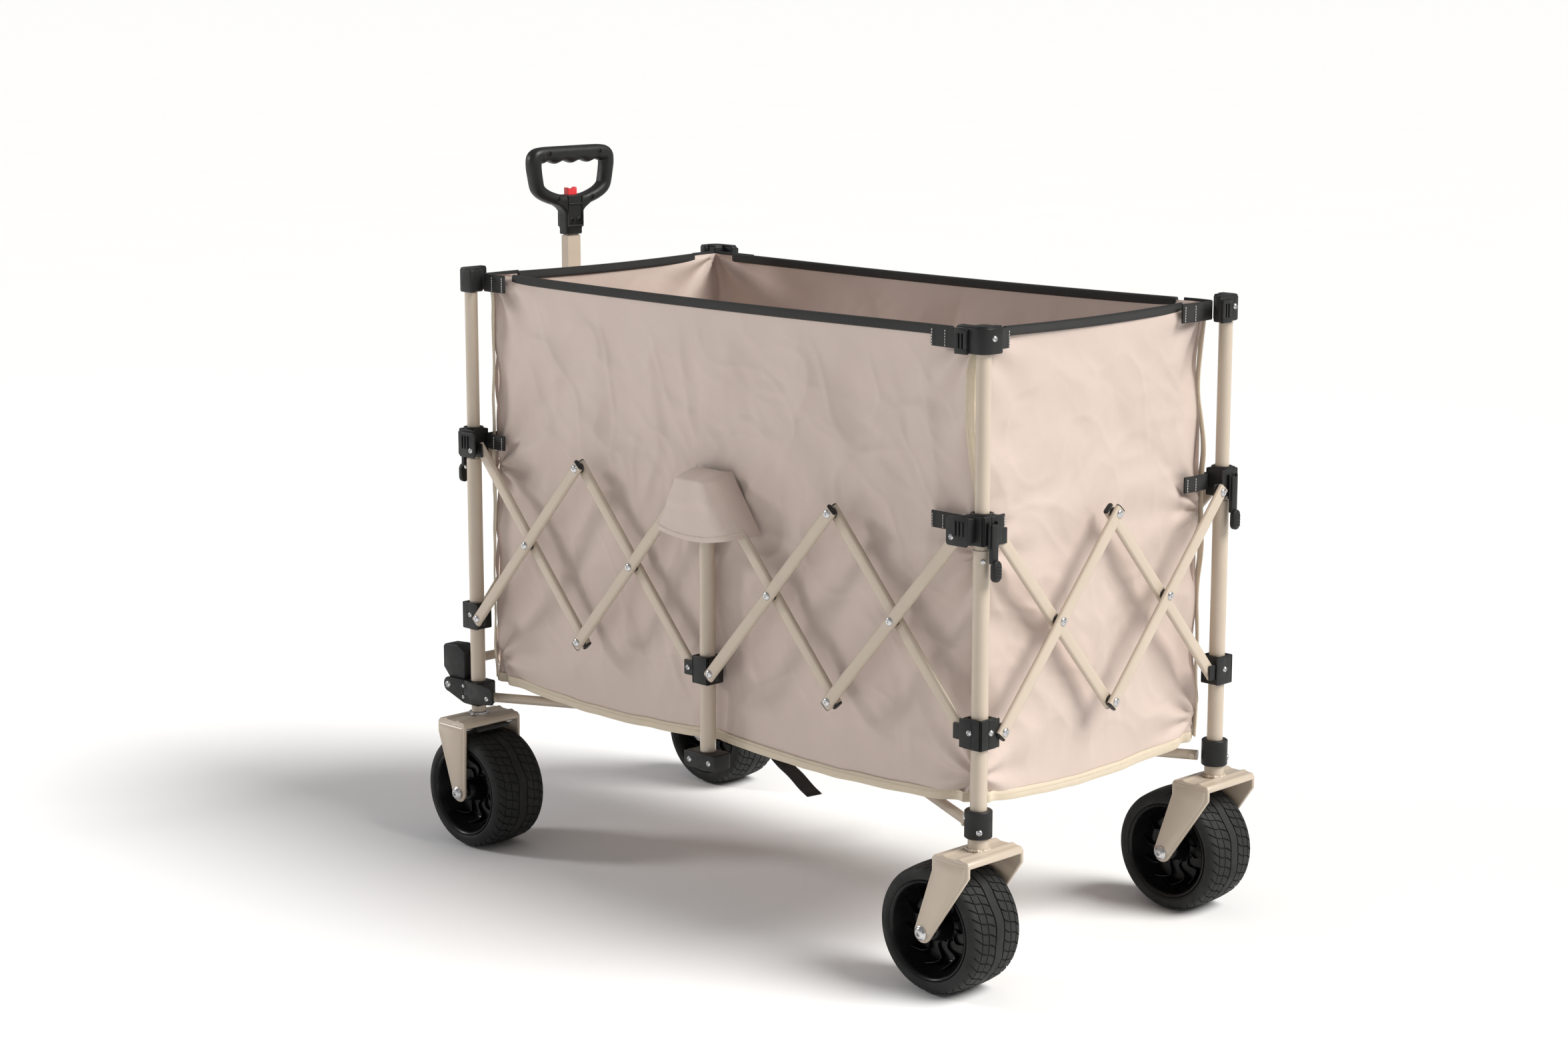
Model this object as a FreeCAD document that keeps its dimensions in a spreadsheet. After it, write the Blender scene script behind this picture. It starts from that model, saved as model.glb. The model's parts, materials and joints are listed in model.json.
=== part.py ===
import FreeCAD, Part
import math
import os

import Sketcher

# A folding four-wheel cart. X runs forward to the handle, Y to the left and Z up.
# The origin is on the ground under the middle of the whole cart.

DIMENSIONS = [
    ("post_spacing_long", 988, "corner post axis to corner post axis, front to rear"),
    ("post_spacing_wide", 494, "corner post axis to corner post axis, across"),
    ("front_reach", 569, "foremost point ahead of the middle between the posts"),
    ("rear_reach", 534, "rearmost point behind the middle between the posts"),
    ("post_diameter", 22, "lower, outer tube of a post"),
    ("post_upper_diameter", 19, "upper, inner tube of a post"),
    ("post_wall", 1.5, "wall of a post tube"),
    ("post_foot_height", 200, "bottom of the post tubes"),
    ("post_step_height", 582, "where the upper tube leaves the lower one"),
    ("post_top_height", 858, "top of the posts"),
    ("pivot_low_height", 347, "lower scissor pivots"),
    ("pivot_high_height", 598, "upper scissor pivots"),
    ("pivot_offset", 25, "from a post axis to its scissor pivots"),
    ("lug_plane", 12, "from a post axis out to the middle plane of the lugs"),
    ("lug_thickness", 3, "thickness of a pivot lug"),
    ("lug_clearance", 0.4, "running gap beside a lug"),
    ("bar_width", 18, "depth of the flat oval scissor bars"),
    ("bar_thickness", 8, "thickness of the scissor bars"),
    ("rivet_diameter", 6, "shank of a scissor rivet"),
    ("rivet_head_diameter", 12, "head of a scissor rivet"),
    ("rivet_head_height", 2.4, "height of a rivet head"),
    ("rivet_clearance", 0.3, "gap round a rivet shank"),
    ("spacer_diameter", 15, "spacer between two crossing bars"),
    ("sleeve_width", 30, "moulded brackets round the posts"),
    ("fitting_gap", 0.2, "gap between a fixed bracket and its post"),
    ("sliding_gap", 0.3, "gap between a sliding bracket and its post"),
    ("lower_bracket_height", 40, "height of the fixed lower brackets"),
    ("slider_height", 38, "height of the sliding brackets"),
    ("slider_drop", 9, "from the upper pivots down to the bottom of a slider"),
    ("lever_reach", 9, "release lever out from its slider"),
    ("lever_width", 14, "release lever across"),
    ("lever_foot_drop", 44, "from the bottom of a slider to the bottom of its lever"),
    ("lever_head_rise", 30, "from the bottom of a slider to the top of its lever"),
    ("lever_tip_reach", 4, "thumb tip out from the lever"),
    ("lever_tip_height", 16, "thumb tip of the lever"),
    ("lever_tip_width", 18, "thumb tip of the lever across"),
    ("lever_relief", 3, "gap behind the lever, beyond the sleeve"),
    ("top_bracket_height", 35, "height of the top brackets"),
    ("cap_rise", 5, "top bracket above the end of its post"),
    ("cap_radius", 13, "round body of a top bracket"),
    ("hook_reach", 33, "from a post axis to the end of its hook plates"),
    ("hook_low_margin", 4, "hook plate above the bottom of its bracket"),
    ("hook_high_margin", 8, "hook plate below the top of its bracket"),
    ("foot_bracket_height", 36, "height of the foot brackets"),
    ("foot_bracket_low", 211, "bottom of the foot brackets"),
    ("foot_collar_radius", 18, "round collar at the foot of a rear post"),
    ("housing_lug_reach", 61, "from a front post axis to the end of its foot lug"),
    ("housing_lug_width", 22, "foot lug of a front post across"),
    ("housing_lug_rise", 12, "foot lug above the bottom of its bracket"),
    ("housing_start", 17, "from a front post axis to its latch housing"),
    ("housing_reach", 65, "from a front post axis to the far side of its latch housing"),
    ("housing_width", 26, "latch housing across"),
    ("housing_height", 42, "latch housing"),
    ("front_stub_offset", 33, "from a front post axis to the tube stub of its latch housing"),
    ("front_stub_rise", 24, "tube stub above the foot bracket"),
    ("front_stub_start", 8, "where the tube stub starts, across the cart"),
    ("front_stub_reach", 62, "where the tube stub ends, across the cart"),
    ("middle_head_height", 30, "head bracket of a middle post"),
    ("middle_slider_height", 39, "sliding bracket of a middle post"),
    ("middle_post_foot", 217, "bottom of a middle post's tube"),
    ("middle_post_rise", 14, "middle post above the upper pivots"),
    ("middle_foot_length", 52, "foot bracket of a middle post along the cart"),
    ("middle_foot_low", 207, "bottom of a middle post's foot bracket"),
    ("middle_foot_height", 24, "foot bracket of a middle post"),
    ("middle_foot_floor", 4, "floor of a middle post's foot bracket"),
    ("strut_diameter", 14, "floor strut tube"),
    ("strut_height", 222, "axis of the floor struts"),
    ("strut_pin_length", 20, "hinge pin through either end of a strut"),
    ("strut_pin_diameter", 8, "hinge pin through either end of a strut"),
    ("strut_start", 30, "from a post axis to the strut hinge"),
    ("strut_gap", 103, "from the middle of the floor to a strut's inner hinge"),
    ("hub_length", 190, "floor hub plate along the cart"),
    ("hub_width", 108, "floor hub plate across the cart"),
    ("hub_thickness", 12, "floor hub plate"),
    ("hub_clearance", 3.5, "between the struts and the hub plate"),
    ("wheel_diameter", 172, "over the tread"),
    ("tyre_width", 92, "width of the fat tyre"),
    ("tyre_shoulder", 14, "rounding of the tyre's shoulders"),
    ("rim_lip", 5, "depth of the rim's lip"),
    ("rim_web", 10, "half thickness of the rim's web"),
    ("rim_hub_radius", 20, "hub of the rim"),
    ("tyre_gap", 0.3, "between the tyre and its seat"),
    ("rim_diameter", 132, "bead seat of the rim"),
    ("hub_bore", 12.6, "bore of the wheel hub"),
    ("axle_diameter", 12, "wheel axle"),
    ("rear_wheel_offset", 46, "rear axle ahead of the post axis"),
    ("caster_trail", 14, "front axle behind the swivel axis"),
    ("fork_inner_width", 98, "between the legs of a fork"),
    ("fork_plate", 5, "thickness of the fork legs and crown"),
    ("fork_crown_height", 190, "underside of the fork crown"),
    ("fork_crown_length", 62, "crown length, front to rear"),
    ("fork_end_radius", 14, "round end of a fork leg"),
    ("swivel_diameter", 30, "swivel bearing above the front forks"),
    ("swivel_gap", 0.5, "between the swivel bearing and the post above it"),
    ("bolt_head_radius", 10, "axle bolt heads"),
    ("bolt_head_height", 5, "axle bolt heads"),
    ("handle_offset", 60, "handle tube axis ahead of the front posts"),
    ("handle_pivot_height", 250, "tilt axis of the handle"),
    ("handle_width", 25, "outer handle tube across the cart"),
    ("handle_depth", 15, "outer handle tube front to rear"),
    ("handle_wall", 1.6, "wall of the handle tubes"),
    ("handle_side_gap", 0.4, "between the handle tube and the cheeks of its base"),
    ("cheek_thickness", 5, "cheeks of the handle base"),
    ("cheek_rise", 40, "cheeks above the tilt axis"),
    ("cheek_drop", 18, "cheeks below the tilt axis"),
    ("cheek_reach", 14, "cheeks ahead of the tilt axis"),
    ("base_plate_thickness", 6, "plate of the handle base"),
    ("base_plate_rise", 16, "plate of the handle base above the lower pivots"),
    ("tilt_pin_radius", 4, "pin that the handle tilts on"),
    ("tilt_pin_gap", 0.3, "round the tilt pin"),
    ("handle_foot_drop", 12, "handle tube below its tilt axis"),
    ("handle_floor_rise", 16, "closed foot of the handle tube, above its tilt axis"),
    ("handle_inner_rise", 60, "inner tube's lower end above the tilt axis"),
    ("socket_depth", 30, "inner tube inside the grip's socket"),
    ("handle_top_height", 890, "top of the outer handle tube"),
    ("grip_width", 168, "D grip across the cart"),
    ("grip_thickness", 30, "D grip front to rear"),
    ("grip_top_height", 1026, "top of the D grip"),
    ("grip_shoulder_height", 934, "underside of the D grip's lower bar"),
    ("grip_bar", 25, "height of the grip's upper and lower bars"),
    ("grip_side", 26, "width of the grip's sides"),
    ("grip_corner_radius", 26, "outer corners of the grip"),
    ("opening_corner_radius", 14, "corners of the hand opening"),
    ("socket_inset", 2, "socket thinner than the grip, each side"),
    ("socket_width", 46, "grip socket across the cart"),
    ("socket_low_height", 892, "bottom of the grip socket"),
    ("button_width", 24, "release button"),
    ("button_depth", 14, "release button"),
    ("button_height", 12, "release button"),
    ("button_sink", 8, "release button below the grip's lower bar"),
    ("button_gap", 0.3, "round the release button"),
    ("well_depth", 14, "well of the release button"),
    ("bag_wall", 4, "fabric bag walls"),
    ("bag_gap", 0.8, "between the bag and the corner brackets"),
    ("bag_low_height", 249, "underside of the bag"),
    ("bag_top_height", 856, "top of the bag's rim"),
]

doc = FreeCAD.newDocument("folding_cart")
sheet = doc.addObject("Spreadsheet::Sheet", "sizes")
for row, (alias, number, note) in enumerate(DIMENSIONS, 1):
    sheet.set(f"A{row}", alias)
    sheet.set(f"B{row}", str(number))
    sheet.set(f"C{row}", note)
    sheet.setAlias(f"B{row}", alias)
doc.recompute()


class Size:
    """A length with its value and the sheet expression that gives it."""

    def __init__(self, value, text):
        self.value = float(value)
        self.text = text

    def combine(self, other, sign, value):
        return Size(value, f"({self.text} {sign} {size_of(other).text})")

    def __add__(self, other):
        return self.combine(other, "+", self.value + size_of(other).value)

    def __sub__(self, other):
        return self.combine(other, "-", self.value - size_of(other).value)

    def __mul__(self, factor):
        return Size(self.value * factor, f"({self.text} * {factor})")

    def __truediv__(self, factor):
        return Size(self.value / factor, f"({self.text} / {factor})")

    def __neg__(self):
        return self * -1

    def __radd__(self, other):
        return size_of(other) + self

    def __rsub__(self, other):
        return size_of(other) - self


def size_of(thing):
    return thing if isinstance(thing, Size) else Size(thing, f"{thing:.6f}")


def dim(alias):
    return Size(sheet.get(alias), f"sizes.{alias}")


def box(x, y, z):
    """A block between pairs of coordinates, given in either order."""
    part = doc.addObject("Part::Box", "block")
    lows = []
    for name, pair in (("Length", x), ("Width", y), ("Height", z)):
        low, high = sorted((size_of(p) for p in pair), key=lambda s: s.value)
        part.setExpression(name, (high - low).text)
        lows.append(low.value)
    part.Placement.Base = FreeCAD.Vector(*lows)
    return part


def cylinder(radius, start, end):
    """A round bar between two points that share two coordinates."""
    part = doc.addObject("Part::Cylinder", "round")
    ends = [[size_of(p) for p in point] for point in (start, end)]
    line = FreeCAD.Vector(*(b.value - a.value for a, b in zip(*ends)))
    run = next((a, b) for a, b in zip(*ends) if abs(a.value - b.value) > 1e-9)
    low, high = sorted(run, key=lambda s: s.value)
    part.setExpression("Radius", size_of(radius).text)
    part.setExpression("Height", (high - low).text)
    turn = FreeCAD.Rotation(FreeCAD.Vector(0, 0, 1), line)
    part.Placement = FreeCAD.Placement(FreeCAD.Vector(*(p.value for p in ends[0])), turn)
    return part


def fuse(*parts):
    if len(parts) == 1:
        return parts[0]
    whole = doc.addObject("Part::MultiFuse", "fused")
    whole.Shapes = list(parts)
    return whole


def cut(base, *tools):
    result = doc.addObject("Part::Cut", "cut")
    result.Base = base
    result.Tool = tools[0] if len(tools) == 1 else fuse(*tools)
    return result


def group(*parts):
    """Separate solids that belong to one named piece."""
    whole = doc.addObject("Part::Compound", "group")
    whole.Links = list(parts)
    return whole


nodes = []


def node(part, label, placement=None):
    part.Label = label
    if placement is not None:
        part.Placement = placement
    nodes.append(part)
    return part


def body_plane(body, role):
    return next(f for f in body.Origin.OriginFeatures if f.Role == role)


def new_sketch(body, role, name, offset=None):
    sketch = body.newObject("Sketcher::SketchObject", name)
    sketch.AttachmentSupport = [(body_plane(body, role), "")]
    sketch.MapMode = "FlatFace"
    if offset is not None:
        sketch.AttachmentOffset = FreeCAD.Placement(FreeCAD.Vector(0, 0, offset), FreeCAD.Rotation())
    return sketch


def add_outline(sketch, points):
    """A closed outline of straight lines through (x, y) points."""
    first = sketch.GeometryCount
    count = len(points)
    vectors = [FreeCAD.Vector(x, y, 0) for x, y in points]
    for i in range(count):
        sketch.addGeometry(Part.LineSegment(vectors[i], vectors[(i + 1) % count]), False)
    for i in range(count):
        after = first + (i + 1) % count
        sketch.addConstraint(Sketcher.Constraint("Coincident", first + i, 2, after, 1))


half_long = dim("post_spacing_long") / 2
half_wide = dim("post_spacing_wide") / 2
shift = (dim("rear_reach") - dim("front_reach")) / 2
post_radius = dim("post_diameter") / 2
upper_radius = dim("post_upper_diameter") / 2
sleeve_half = dim("sleeve_width") / 2
pivot_low = dim("pivot_low_height")
pivot_high = dim("pivot_high_height")
lug_plane = dim("lug_plane")
lug_half = dim("lug_thickness") / 2
bar_gap_half = lug_half + dim("lug_clearance")
bar_half = dim("bar_width") / 2
pivot_offset = dim("pivot_offset")
rise = pivot_high.value - pivot_low.value
# How far a cutting tool or a root runs past the face that it goes through.
PAST = 1
LONG_UNITS = 4
WIDE_UNITS = 2
unit_long = (2 * half_long.value - 4 * pivot_offset.value) / LONG_UNITS
unit_wide = (2 * half_wide.value - 2 * pivot_offset.value) / WIDE_UNITS
bar_pitch = math.hypot(unit_long, rise)

CORNERS = {
    "rear_left": (-1, 1),
    "front_left": (1, 1),
    "rear_right": (-1, -1),
    "front_right": (1, -1),
}


class Corner:
    """Corner post coordinates: u runs inward along the cart, v inward across it."""

    def __init__(self, side_x, side_y):
        self.side_x, self.side_y = side_x, side_y
        self.x = shift + half_long * side_x
        self.y = half_wide * side_y

    def along(self, u):
        return self.x - size_of(u) * self.side_x

    def across(self, v):
        return self.y - size_of(v) * self.side_y

    def point(self, u, v, z):
        return self.along(u), self.across(v), size_of(z)

    def box(self, u, v, z):
        return box([self.along(p) for p in u], [self.across(p) for p in v], z)

    def upright(self, radius, low, high, u=0, v=0):
        return cylinder(radius, self.point(u, v, low), self.point(u, v, high))


def pivot_lugs(corner, height):
    """A lug along the cart and a lug across it, each with its rivet hole."""
    outer = -lug_plane
    faces = (outer - lug_half, outer + lug_half)
    hole = dim("rivet_diameter") / 2 + dim("rivet_clearance")
    band = (height - bar_half, height + bar_half)
    solids = [
        corner.box((0, pivot_offset), faces, band),
        cylinder(bar_half, corner.point(pivot_offset, faces[0], height),
                 corner.point(pivot_offset, faces[1], height)),
        corner.box(faces, (0, pivot_offset), band),
        cylinder(bar_half, corner.point(faces[0], pivot_offset, height),
                 corner.point(faces[1], pivot_offset, height)),
    ]
    reach = (outer - sleeve_half, outer + sleeve_half)
    holes = [
        cylinder(hole, corner.point(pivot_offset, reach[0], height),
                 corner.point(pivot_offset, reach[1], height)),
        cylinder(hole, corner.point(reach[0], pivot_offset, height),
                 corner.point(reach[1], pivot_offset, height)),
    ]
    return solids, holes


def sleeve(corner, low, high):
    return corner.box((-sleeve_half, sleeve_half), (-sleeve_half, sleeve_half), (low, high))


def corner_post(name, corner):
    low, step, high = dim("post_foot_height"), dim("post_step_height"), dim("post_top_height")
    wall = dim("post_wall")
    outside = fuse(corner.upright(post_radius, low, step), corner.upright(upper_radius, low, high))
    bore = corner.upright(upper_radius - wall, low - wall, high - wall)
    node(cut(outside, bore), f"corner_post_{name}")


def corner_fittings(name, corner):
    """The moulded brackets that are fixed to one post, from the top down."""
    gap = dim("fitting_gap")
    top_high = dim("post_top_height") + dim("cap_rise")
    top_low = top_high - dim("top_bracket_height")
    hook_band = (top_low + dim("hook_low_margin"), top_high - dim("hook_high_margin"))
    top = cut(
        fuse(
            corner.upright(dim("cap_radius"), top_low, top_high),
            corner.box((0, dim("hook_reach")), (-lug_half, lug_half), hook_band),
            corner.box((-lug_half, lug_half), (0, dim("hook_reach")), hook_band),
        ),
        corner.upright(upper_radius + gap, top_low - PAST, dim("post_top_height") + gap),
    )
    band = dim("lower_bracket_height")
    low = pivot_low - band / 2
    lugs, holes = pivot_lugs(corner, pivot_low)
    through = corner.upright(post_radius + gap, low - PAST, low + band + PAST)
    lower = cut(fuse(sleeve(corner, low, low + band), *lugs), through, *holes)
    foot = foot_bracket(corner, gap)
    node(group(top, lower, foot), f"corner_fittings_{name}")


def foot_bracket(corner, gap):
    """A round collar at the rear, and at the front a block with the latch housing ahead of it."""
    low = dim("foot_bracket_low")
    high = low + dim("foot_bracket_height")
    blocks = [corner.upright(dim("foot_collar_radius"), low, high)]
    if corner.side_x > 0:
        lug_half_width = dim("housing_lug_width") / 2
        housing_half = dim("housing_width") / 2
        stub = (-dim("front_stub_offset"), high + dim("front_stub_rise"))
        blocks = [
            sleeve(corner, low, high),
            corner.box((-dim("housing_lug_reach"), PAST - sleeve_half), (-lug_half_width, lug_half_width),
                       (low + dim("housing_lug_rise"), high)),
            corner.box((-dim("housing_reach"), -dim("housing_start")), (-housing_half, housing_half),
                       (high, high + dim("housing_height"))),
            cylinder(dim("strut_diameter") / 2, corner.point(stub[0], dim("front_stub_start"), stub[1]),
                     corner.point(stub[0], dim("front_stub_reach"), stub[1])),
        ]
    clear = corner.upright(post_radius + gap, low - PAST, high + dim("housing_height") + PAST)
    return cut(fuse(*blocks), clear)


def slider(name, corner):
    """The sliding bracket with its release lever and latch pin."""
    height = dim("slider_height")
    low = pivot_high - dim("slider_drop")
    lugs, holes = pivot_lugs(corner, pivot_high)
    lever_out = -sleeve_half - dim("lever_reach")
    lever_low = low - dim("lever_foot_drop")
    lever_half, tip_half = dim("lever_width") / 2, dim("lever_tip_width") / 2
    relief_out = -sleeve_half - dim("lever_relief")
    lever = corner.box((lever_out, PAST - sleeve_half), (-lever_half, lever_half),
                       (lever_low, low + dim("lever_head_rise")))
    tip = corner.box((lever_out - dim("lever_tip_reach"), -sleeve_half - PAST), (-tip_half, tip_half),
                     (lever_low, lever_low + dim("lever_tip_height")))
    relief = corner.box((relief_out, 0), (-tip_half - PAST, tip_half + PAST),
                        (lever_low - PAST, low - PAST))
    through = corner.upright(post_radius + dim("sliding_gap"), low - PAST, low + height + PAST)
    solid = fuse(sleeve(corner, low, low + height), *lugs, lever, tip)
    node(cut(solid, through, relief, *holes), f"slider_{name}")


def bar_blank(low, high):
    half = bar_pitch / 2
    return [
        box((-half, half), (-bar_half, bar_half), (low, high)),
        cylinder(bar_half, (-half, 0, low), (-half, 0, high)),
        cylinder(bar_half, (half, 0, low), (half, 0, high)),
    ]


def scissor_bar(label, placement, outer):
    """One bar: its lug end is at -X and its joint end at +X, and +Z faces away from the bag.

    The outer bar carries the rivets of its crossing and its joint. Each bar carries its own lug rivet.
    """
    half = bar_pitch / 2
    thick = dim("bar_thickness")
    shank = dim("rivet_diameter") / 2
    head = dim("rivet_head_diameter") / 2
    head_height = dim("rivet_head_height")
    clearance = dim("lug_clearance")
    outside = bar_gap_half + thick
    inside = -bar_gap_half - thick
    if outer:
        solids = bar_blank(bar_gap_half, outside)
        for x, low in ((-half, -bar_gap_half), (0, inside - clearance), (half, inside - clearance)):
            solids.append(cylinder(shank, (x, 0, low), (x, 0, outside)))
            solids.append(cylinder(head, (x, 0, low - head_height), (x, 0, low)))
            solids.append(cylinder(head, (x, 0, outside), (x, 0, outside + head_height)))
        for x in (0, half):
            solids.append(cylinder(dim("spacer_diameter") / 2, (x, 0, clearance - bar_gap_half),
                                   (x, 0, bar_gap_half)))
        bar = fuse(*solids)
    else:
        solids = bar_blank(inside, -bar_gap_half)
        solids.append(cylinder(shank, (-half, 0, inside), (-half, 0, bar_gap_half)))
        solids.append(cylinder(head, (-half, 0, bar_gap_half), (-half, 0, bar_gap_half + head_height)))
        solids.append(cylinder(head, (-half, 0, inside - head_height), (-half, 0, inside)))
        hole = shank + dim("rivet_clearance")
        holes = [cylinder(hole, (x, 0, inside - PAST), (x, 0, PAST - bar_gap_half)) for x in (0, half)]
        bar = cut(fuse(*solids), *holes)
    node(bar, label, placement)


def bar_placement(lug, joint, outward):
    """Puts a bar's -X end on the lug point and its +X end on the joint point."""
    x_axis = (joint - lug).normalize()
    y_axis = outward.cross(x_axis)
    turn = FreeCAD.Rotation(x_axis, y_axis, outward, "ZXY")
    return FreeCAD.Placement((lug + joint) / 2, turn)


def side_bars(side, start, along, outward, pivots, rising_outer):
    """The bars of one side. Each unit has a rising and a falling bar, numbered from the start post."""
    low, high = pivot_low.value, pivot_high.value
    for unit, (near, far) in enumerate(pivots, 1):
        for kind, z_near, z_far in (("rising", low, high), ("falling", high, low)):
            near_end = start + along * near + FreeCAD.Vector(0, 0, z_near)
            far_end = start + along * far + FreeCAD.Vector(0, 0, z_far)
            lug_first = unit % 2 == 1
            lug, joint = (near_end, far_end) if lug_first else (far_end, near_end)
            outer = (kind == "rising") == rising_outer
            place = bar_placement(lug, joint, outward)
            scissor_bar(f"{side}_{kind}_bar_{unit}", place, outer)


def pivot_stations(units, unit_length, post_gap_after):
    """Where each unit starts and ends along its side, with a gap at a middle post."""
    stations = []
    at = pivot_offset.value
    for unit in range(units):
        stations.append((at, at + unit_length))
        at += unit_length
        if unit + 1 == post_gap_after:
            at += 2 * pivot_offset.value
    return stations


def all_bars():
    x_axis, y_axis = FreeCAD.Vector(1, 0, 0), FreeCAD.Vector(0, 1, 0)
    rear = shift.value - half_long.value
    front = shift.value + half_long.value
    wide = half_wide.value
    out = lug_plane.value
    long_stations = pivot_stations(LONG_UNITS, unit_long, LONG_UNITS // 2)
    wide_stations = pivot_stations(WIDE_UNITS, unit_wide, 0)
    for side, sign in (("left", 1), ("right", -1)):
        start = FreeCAD.Vector(rear, sign * (wide + out), 0)
        side_bars(side, start, x_axis, y_axis * sign, long_stations, False)
    for side, x, sign in (("rear", rear, -1), ("front", front, 1)):
        start = FreeCAD.Vector(x + sign * out, wide, 0)
        side_bars(side, start, -y_axis, x_axis * sign, wide_stations, True)


def middle_post(name, side_y):
    """The post at the middle of a long side, with its head and foot brackets."""
    y = half_wide * side_y
    low, high = dim("middle_post_foot"), pivot_high + dim("middle_post_rise")
    wall = dim("post_wall")
    tube = cut(
        cylinder(post_radius, (shift, y, low), (shift, y, high)),
        cylinder(post_radius - wall, (shift, y, low - PAST), (shift, y, high - wall)),
    )
    head = middle_bracket(side_y, pivot_high, dim("middle_head_height"), dim("fitting_gap"))
    foot_low = dim("middle_foot_low")
    foot_high = foot_low + dim("middle_foot_height")
    foot_half = dim("middle_foot_length") / 2
    foot = cut(
        box((shift - foot_half, shift + foot_half), (y - sleeve_half, y + sleeve_half),
            (foot_low, foot_high)),
        cylinder(post_radius + dim("fitting_gap"), (shift, y, foot_low + dim("middle_foot_floor")),
                 (shift, y, foot_high + PAST)),
    )
    node(group(tube, head, foot), f"middle_post_{name}")


def middle_bracket(side_y, height, band, gap):
    """A sleeve with a lug on either side, on a middle post."""
    y = half_wide * side_y
    plane = y + lug_plane * side_y
    faces = (plane - lug_half, plane + lug_half)
    hole = dim("rivet_diameter") / 2 + dim("rivet_clearance")
    ends = (shift - pivot_offset, shift + pivot_offset)
    solids = [
        box((shift - sleeve_half, shift + sleeve_half), (y - sleeve_half, y + sleeve_half),
            (height - band / 2, height + band / 2)),
        box(ends, faces, (height - bar_half, height + bar_half)),
    ]
    tools = [cylinder(post_radius + gap, (shift, y, height - band), (shift, y, height + band))]
    for x in ends:
        solids.append(cylinder(bar_half, (x, faces[0], height), (x, faces[1], height)))
        tools.append(cylinder(hole, (x, plane - sleeve_half, height), (x, plane + sleeve_half, height)))
    return cut(fuse(*solids), *tools)


def floor_struts():
    """Four struts that lift towards the middle of the floor, and the plate over their ends."""
    radius = dim("strut_diameter") / 2
    pin_half = dim("strut_pin_length") / 2
    pin_inset = radius.value
    centre = FreeCAD.Vector(shift.value, 0, dim("strut_height").value)
    for name, corner in corners.items():
        post = FreeCAD.Vector(corner.x.value, corner.y.value, centre.z)
        reach = (centre - post).Length
        run = reach - dim("strut_start").value - dim("strut_gap").value + 2 * pin_inset
        tube = cylinder(radius, (0, 0, 0), (run, 0, 0))
        pins = [
            cylinder(dim("strut_pin_diameter") / 2, (x, -pin_half, 0), (x, pin_half, 0))
            for x in (pin_inset, run - pin_inset)
        ]
        turn = FreeCAD.Rotation(FreeCAD.Vector(1, 0, 0), centre - post)
        start = post + (centre - post).normalize() * (dim("strut_start").value - pin_inset)
        node(fuse(tube, *pins), f"floor_strut_{name}", FreeCAD.Placement(start, turn))
    low = dim("strut_height") + radius + dim("hub_clearance")
    half_x, half_y = dim("hub_length") / 2, dim("hub_width") / 2
    plate = box((shift - half_x, shift + half_x), (-half_y, half_y), (low, low + dim("hub_thickness")))
    node(plate, "floor_hub")


def fork_leg(name, side, crown_half, axle_x, axle_z, y_inner):
    """A leg that tapers from the crown to its round end at the axle."""
    body = doc.addObject("PartDesign::Body", f"{name}_{side}")
    sketch = new_sketch(body, "XZ_Plane", f"{name}_{side}_outline")
    radius = dim("fork_end_radius").value
    crown = dim("fork_crown_height").value
    axle = FreeCAD.Vector(axle_x, axle_z, 0)
    tops = [FreeCAD.Vector(x, crown, 0) for x in (-crown_half, crown_half)]
    tangents = []
    for top, hand in ((tops[0], -1), (tops[1], 1)):
        line = top - axle
        swing = math.acos(radius / line.Length) * hand
        angle = math.atan2(line.y, line.x) - swing
        tangents.append(axle + FreeCAD.Vector(math.cos(angle), math.sin(angle), 0) * radius)
    below = axle - FreeCAD.Vector(0, radius, 0)
    sketch.addGeometry(Part.LineSegment(tops[1], tops[0]), False)
    sketch.addGeometry(Part.LineSegment(tops[0], tangents[0]), False)
    sketch.addGeometry(Part.Arc(tangents[0], below, tangents[1]), False)
    sketch.addGeometry(Part.LineSegment(tangents[1], tops[1]), False)
    pad = body.newObject("PartDesign::Pad", f"{name}_{side}_plate")
    pad.Profile = sketch
    pad.setExpression("Length", "sizes.fork_plate")
    body.Placement.Base = FreeCAD.Vector(0, y_inner, 0)
    return body


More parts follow.
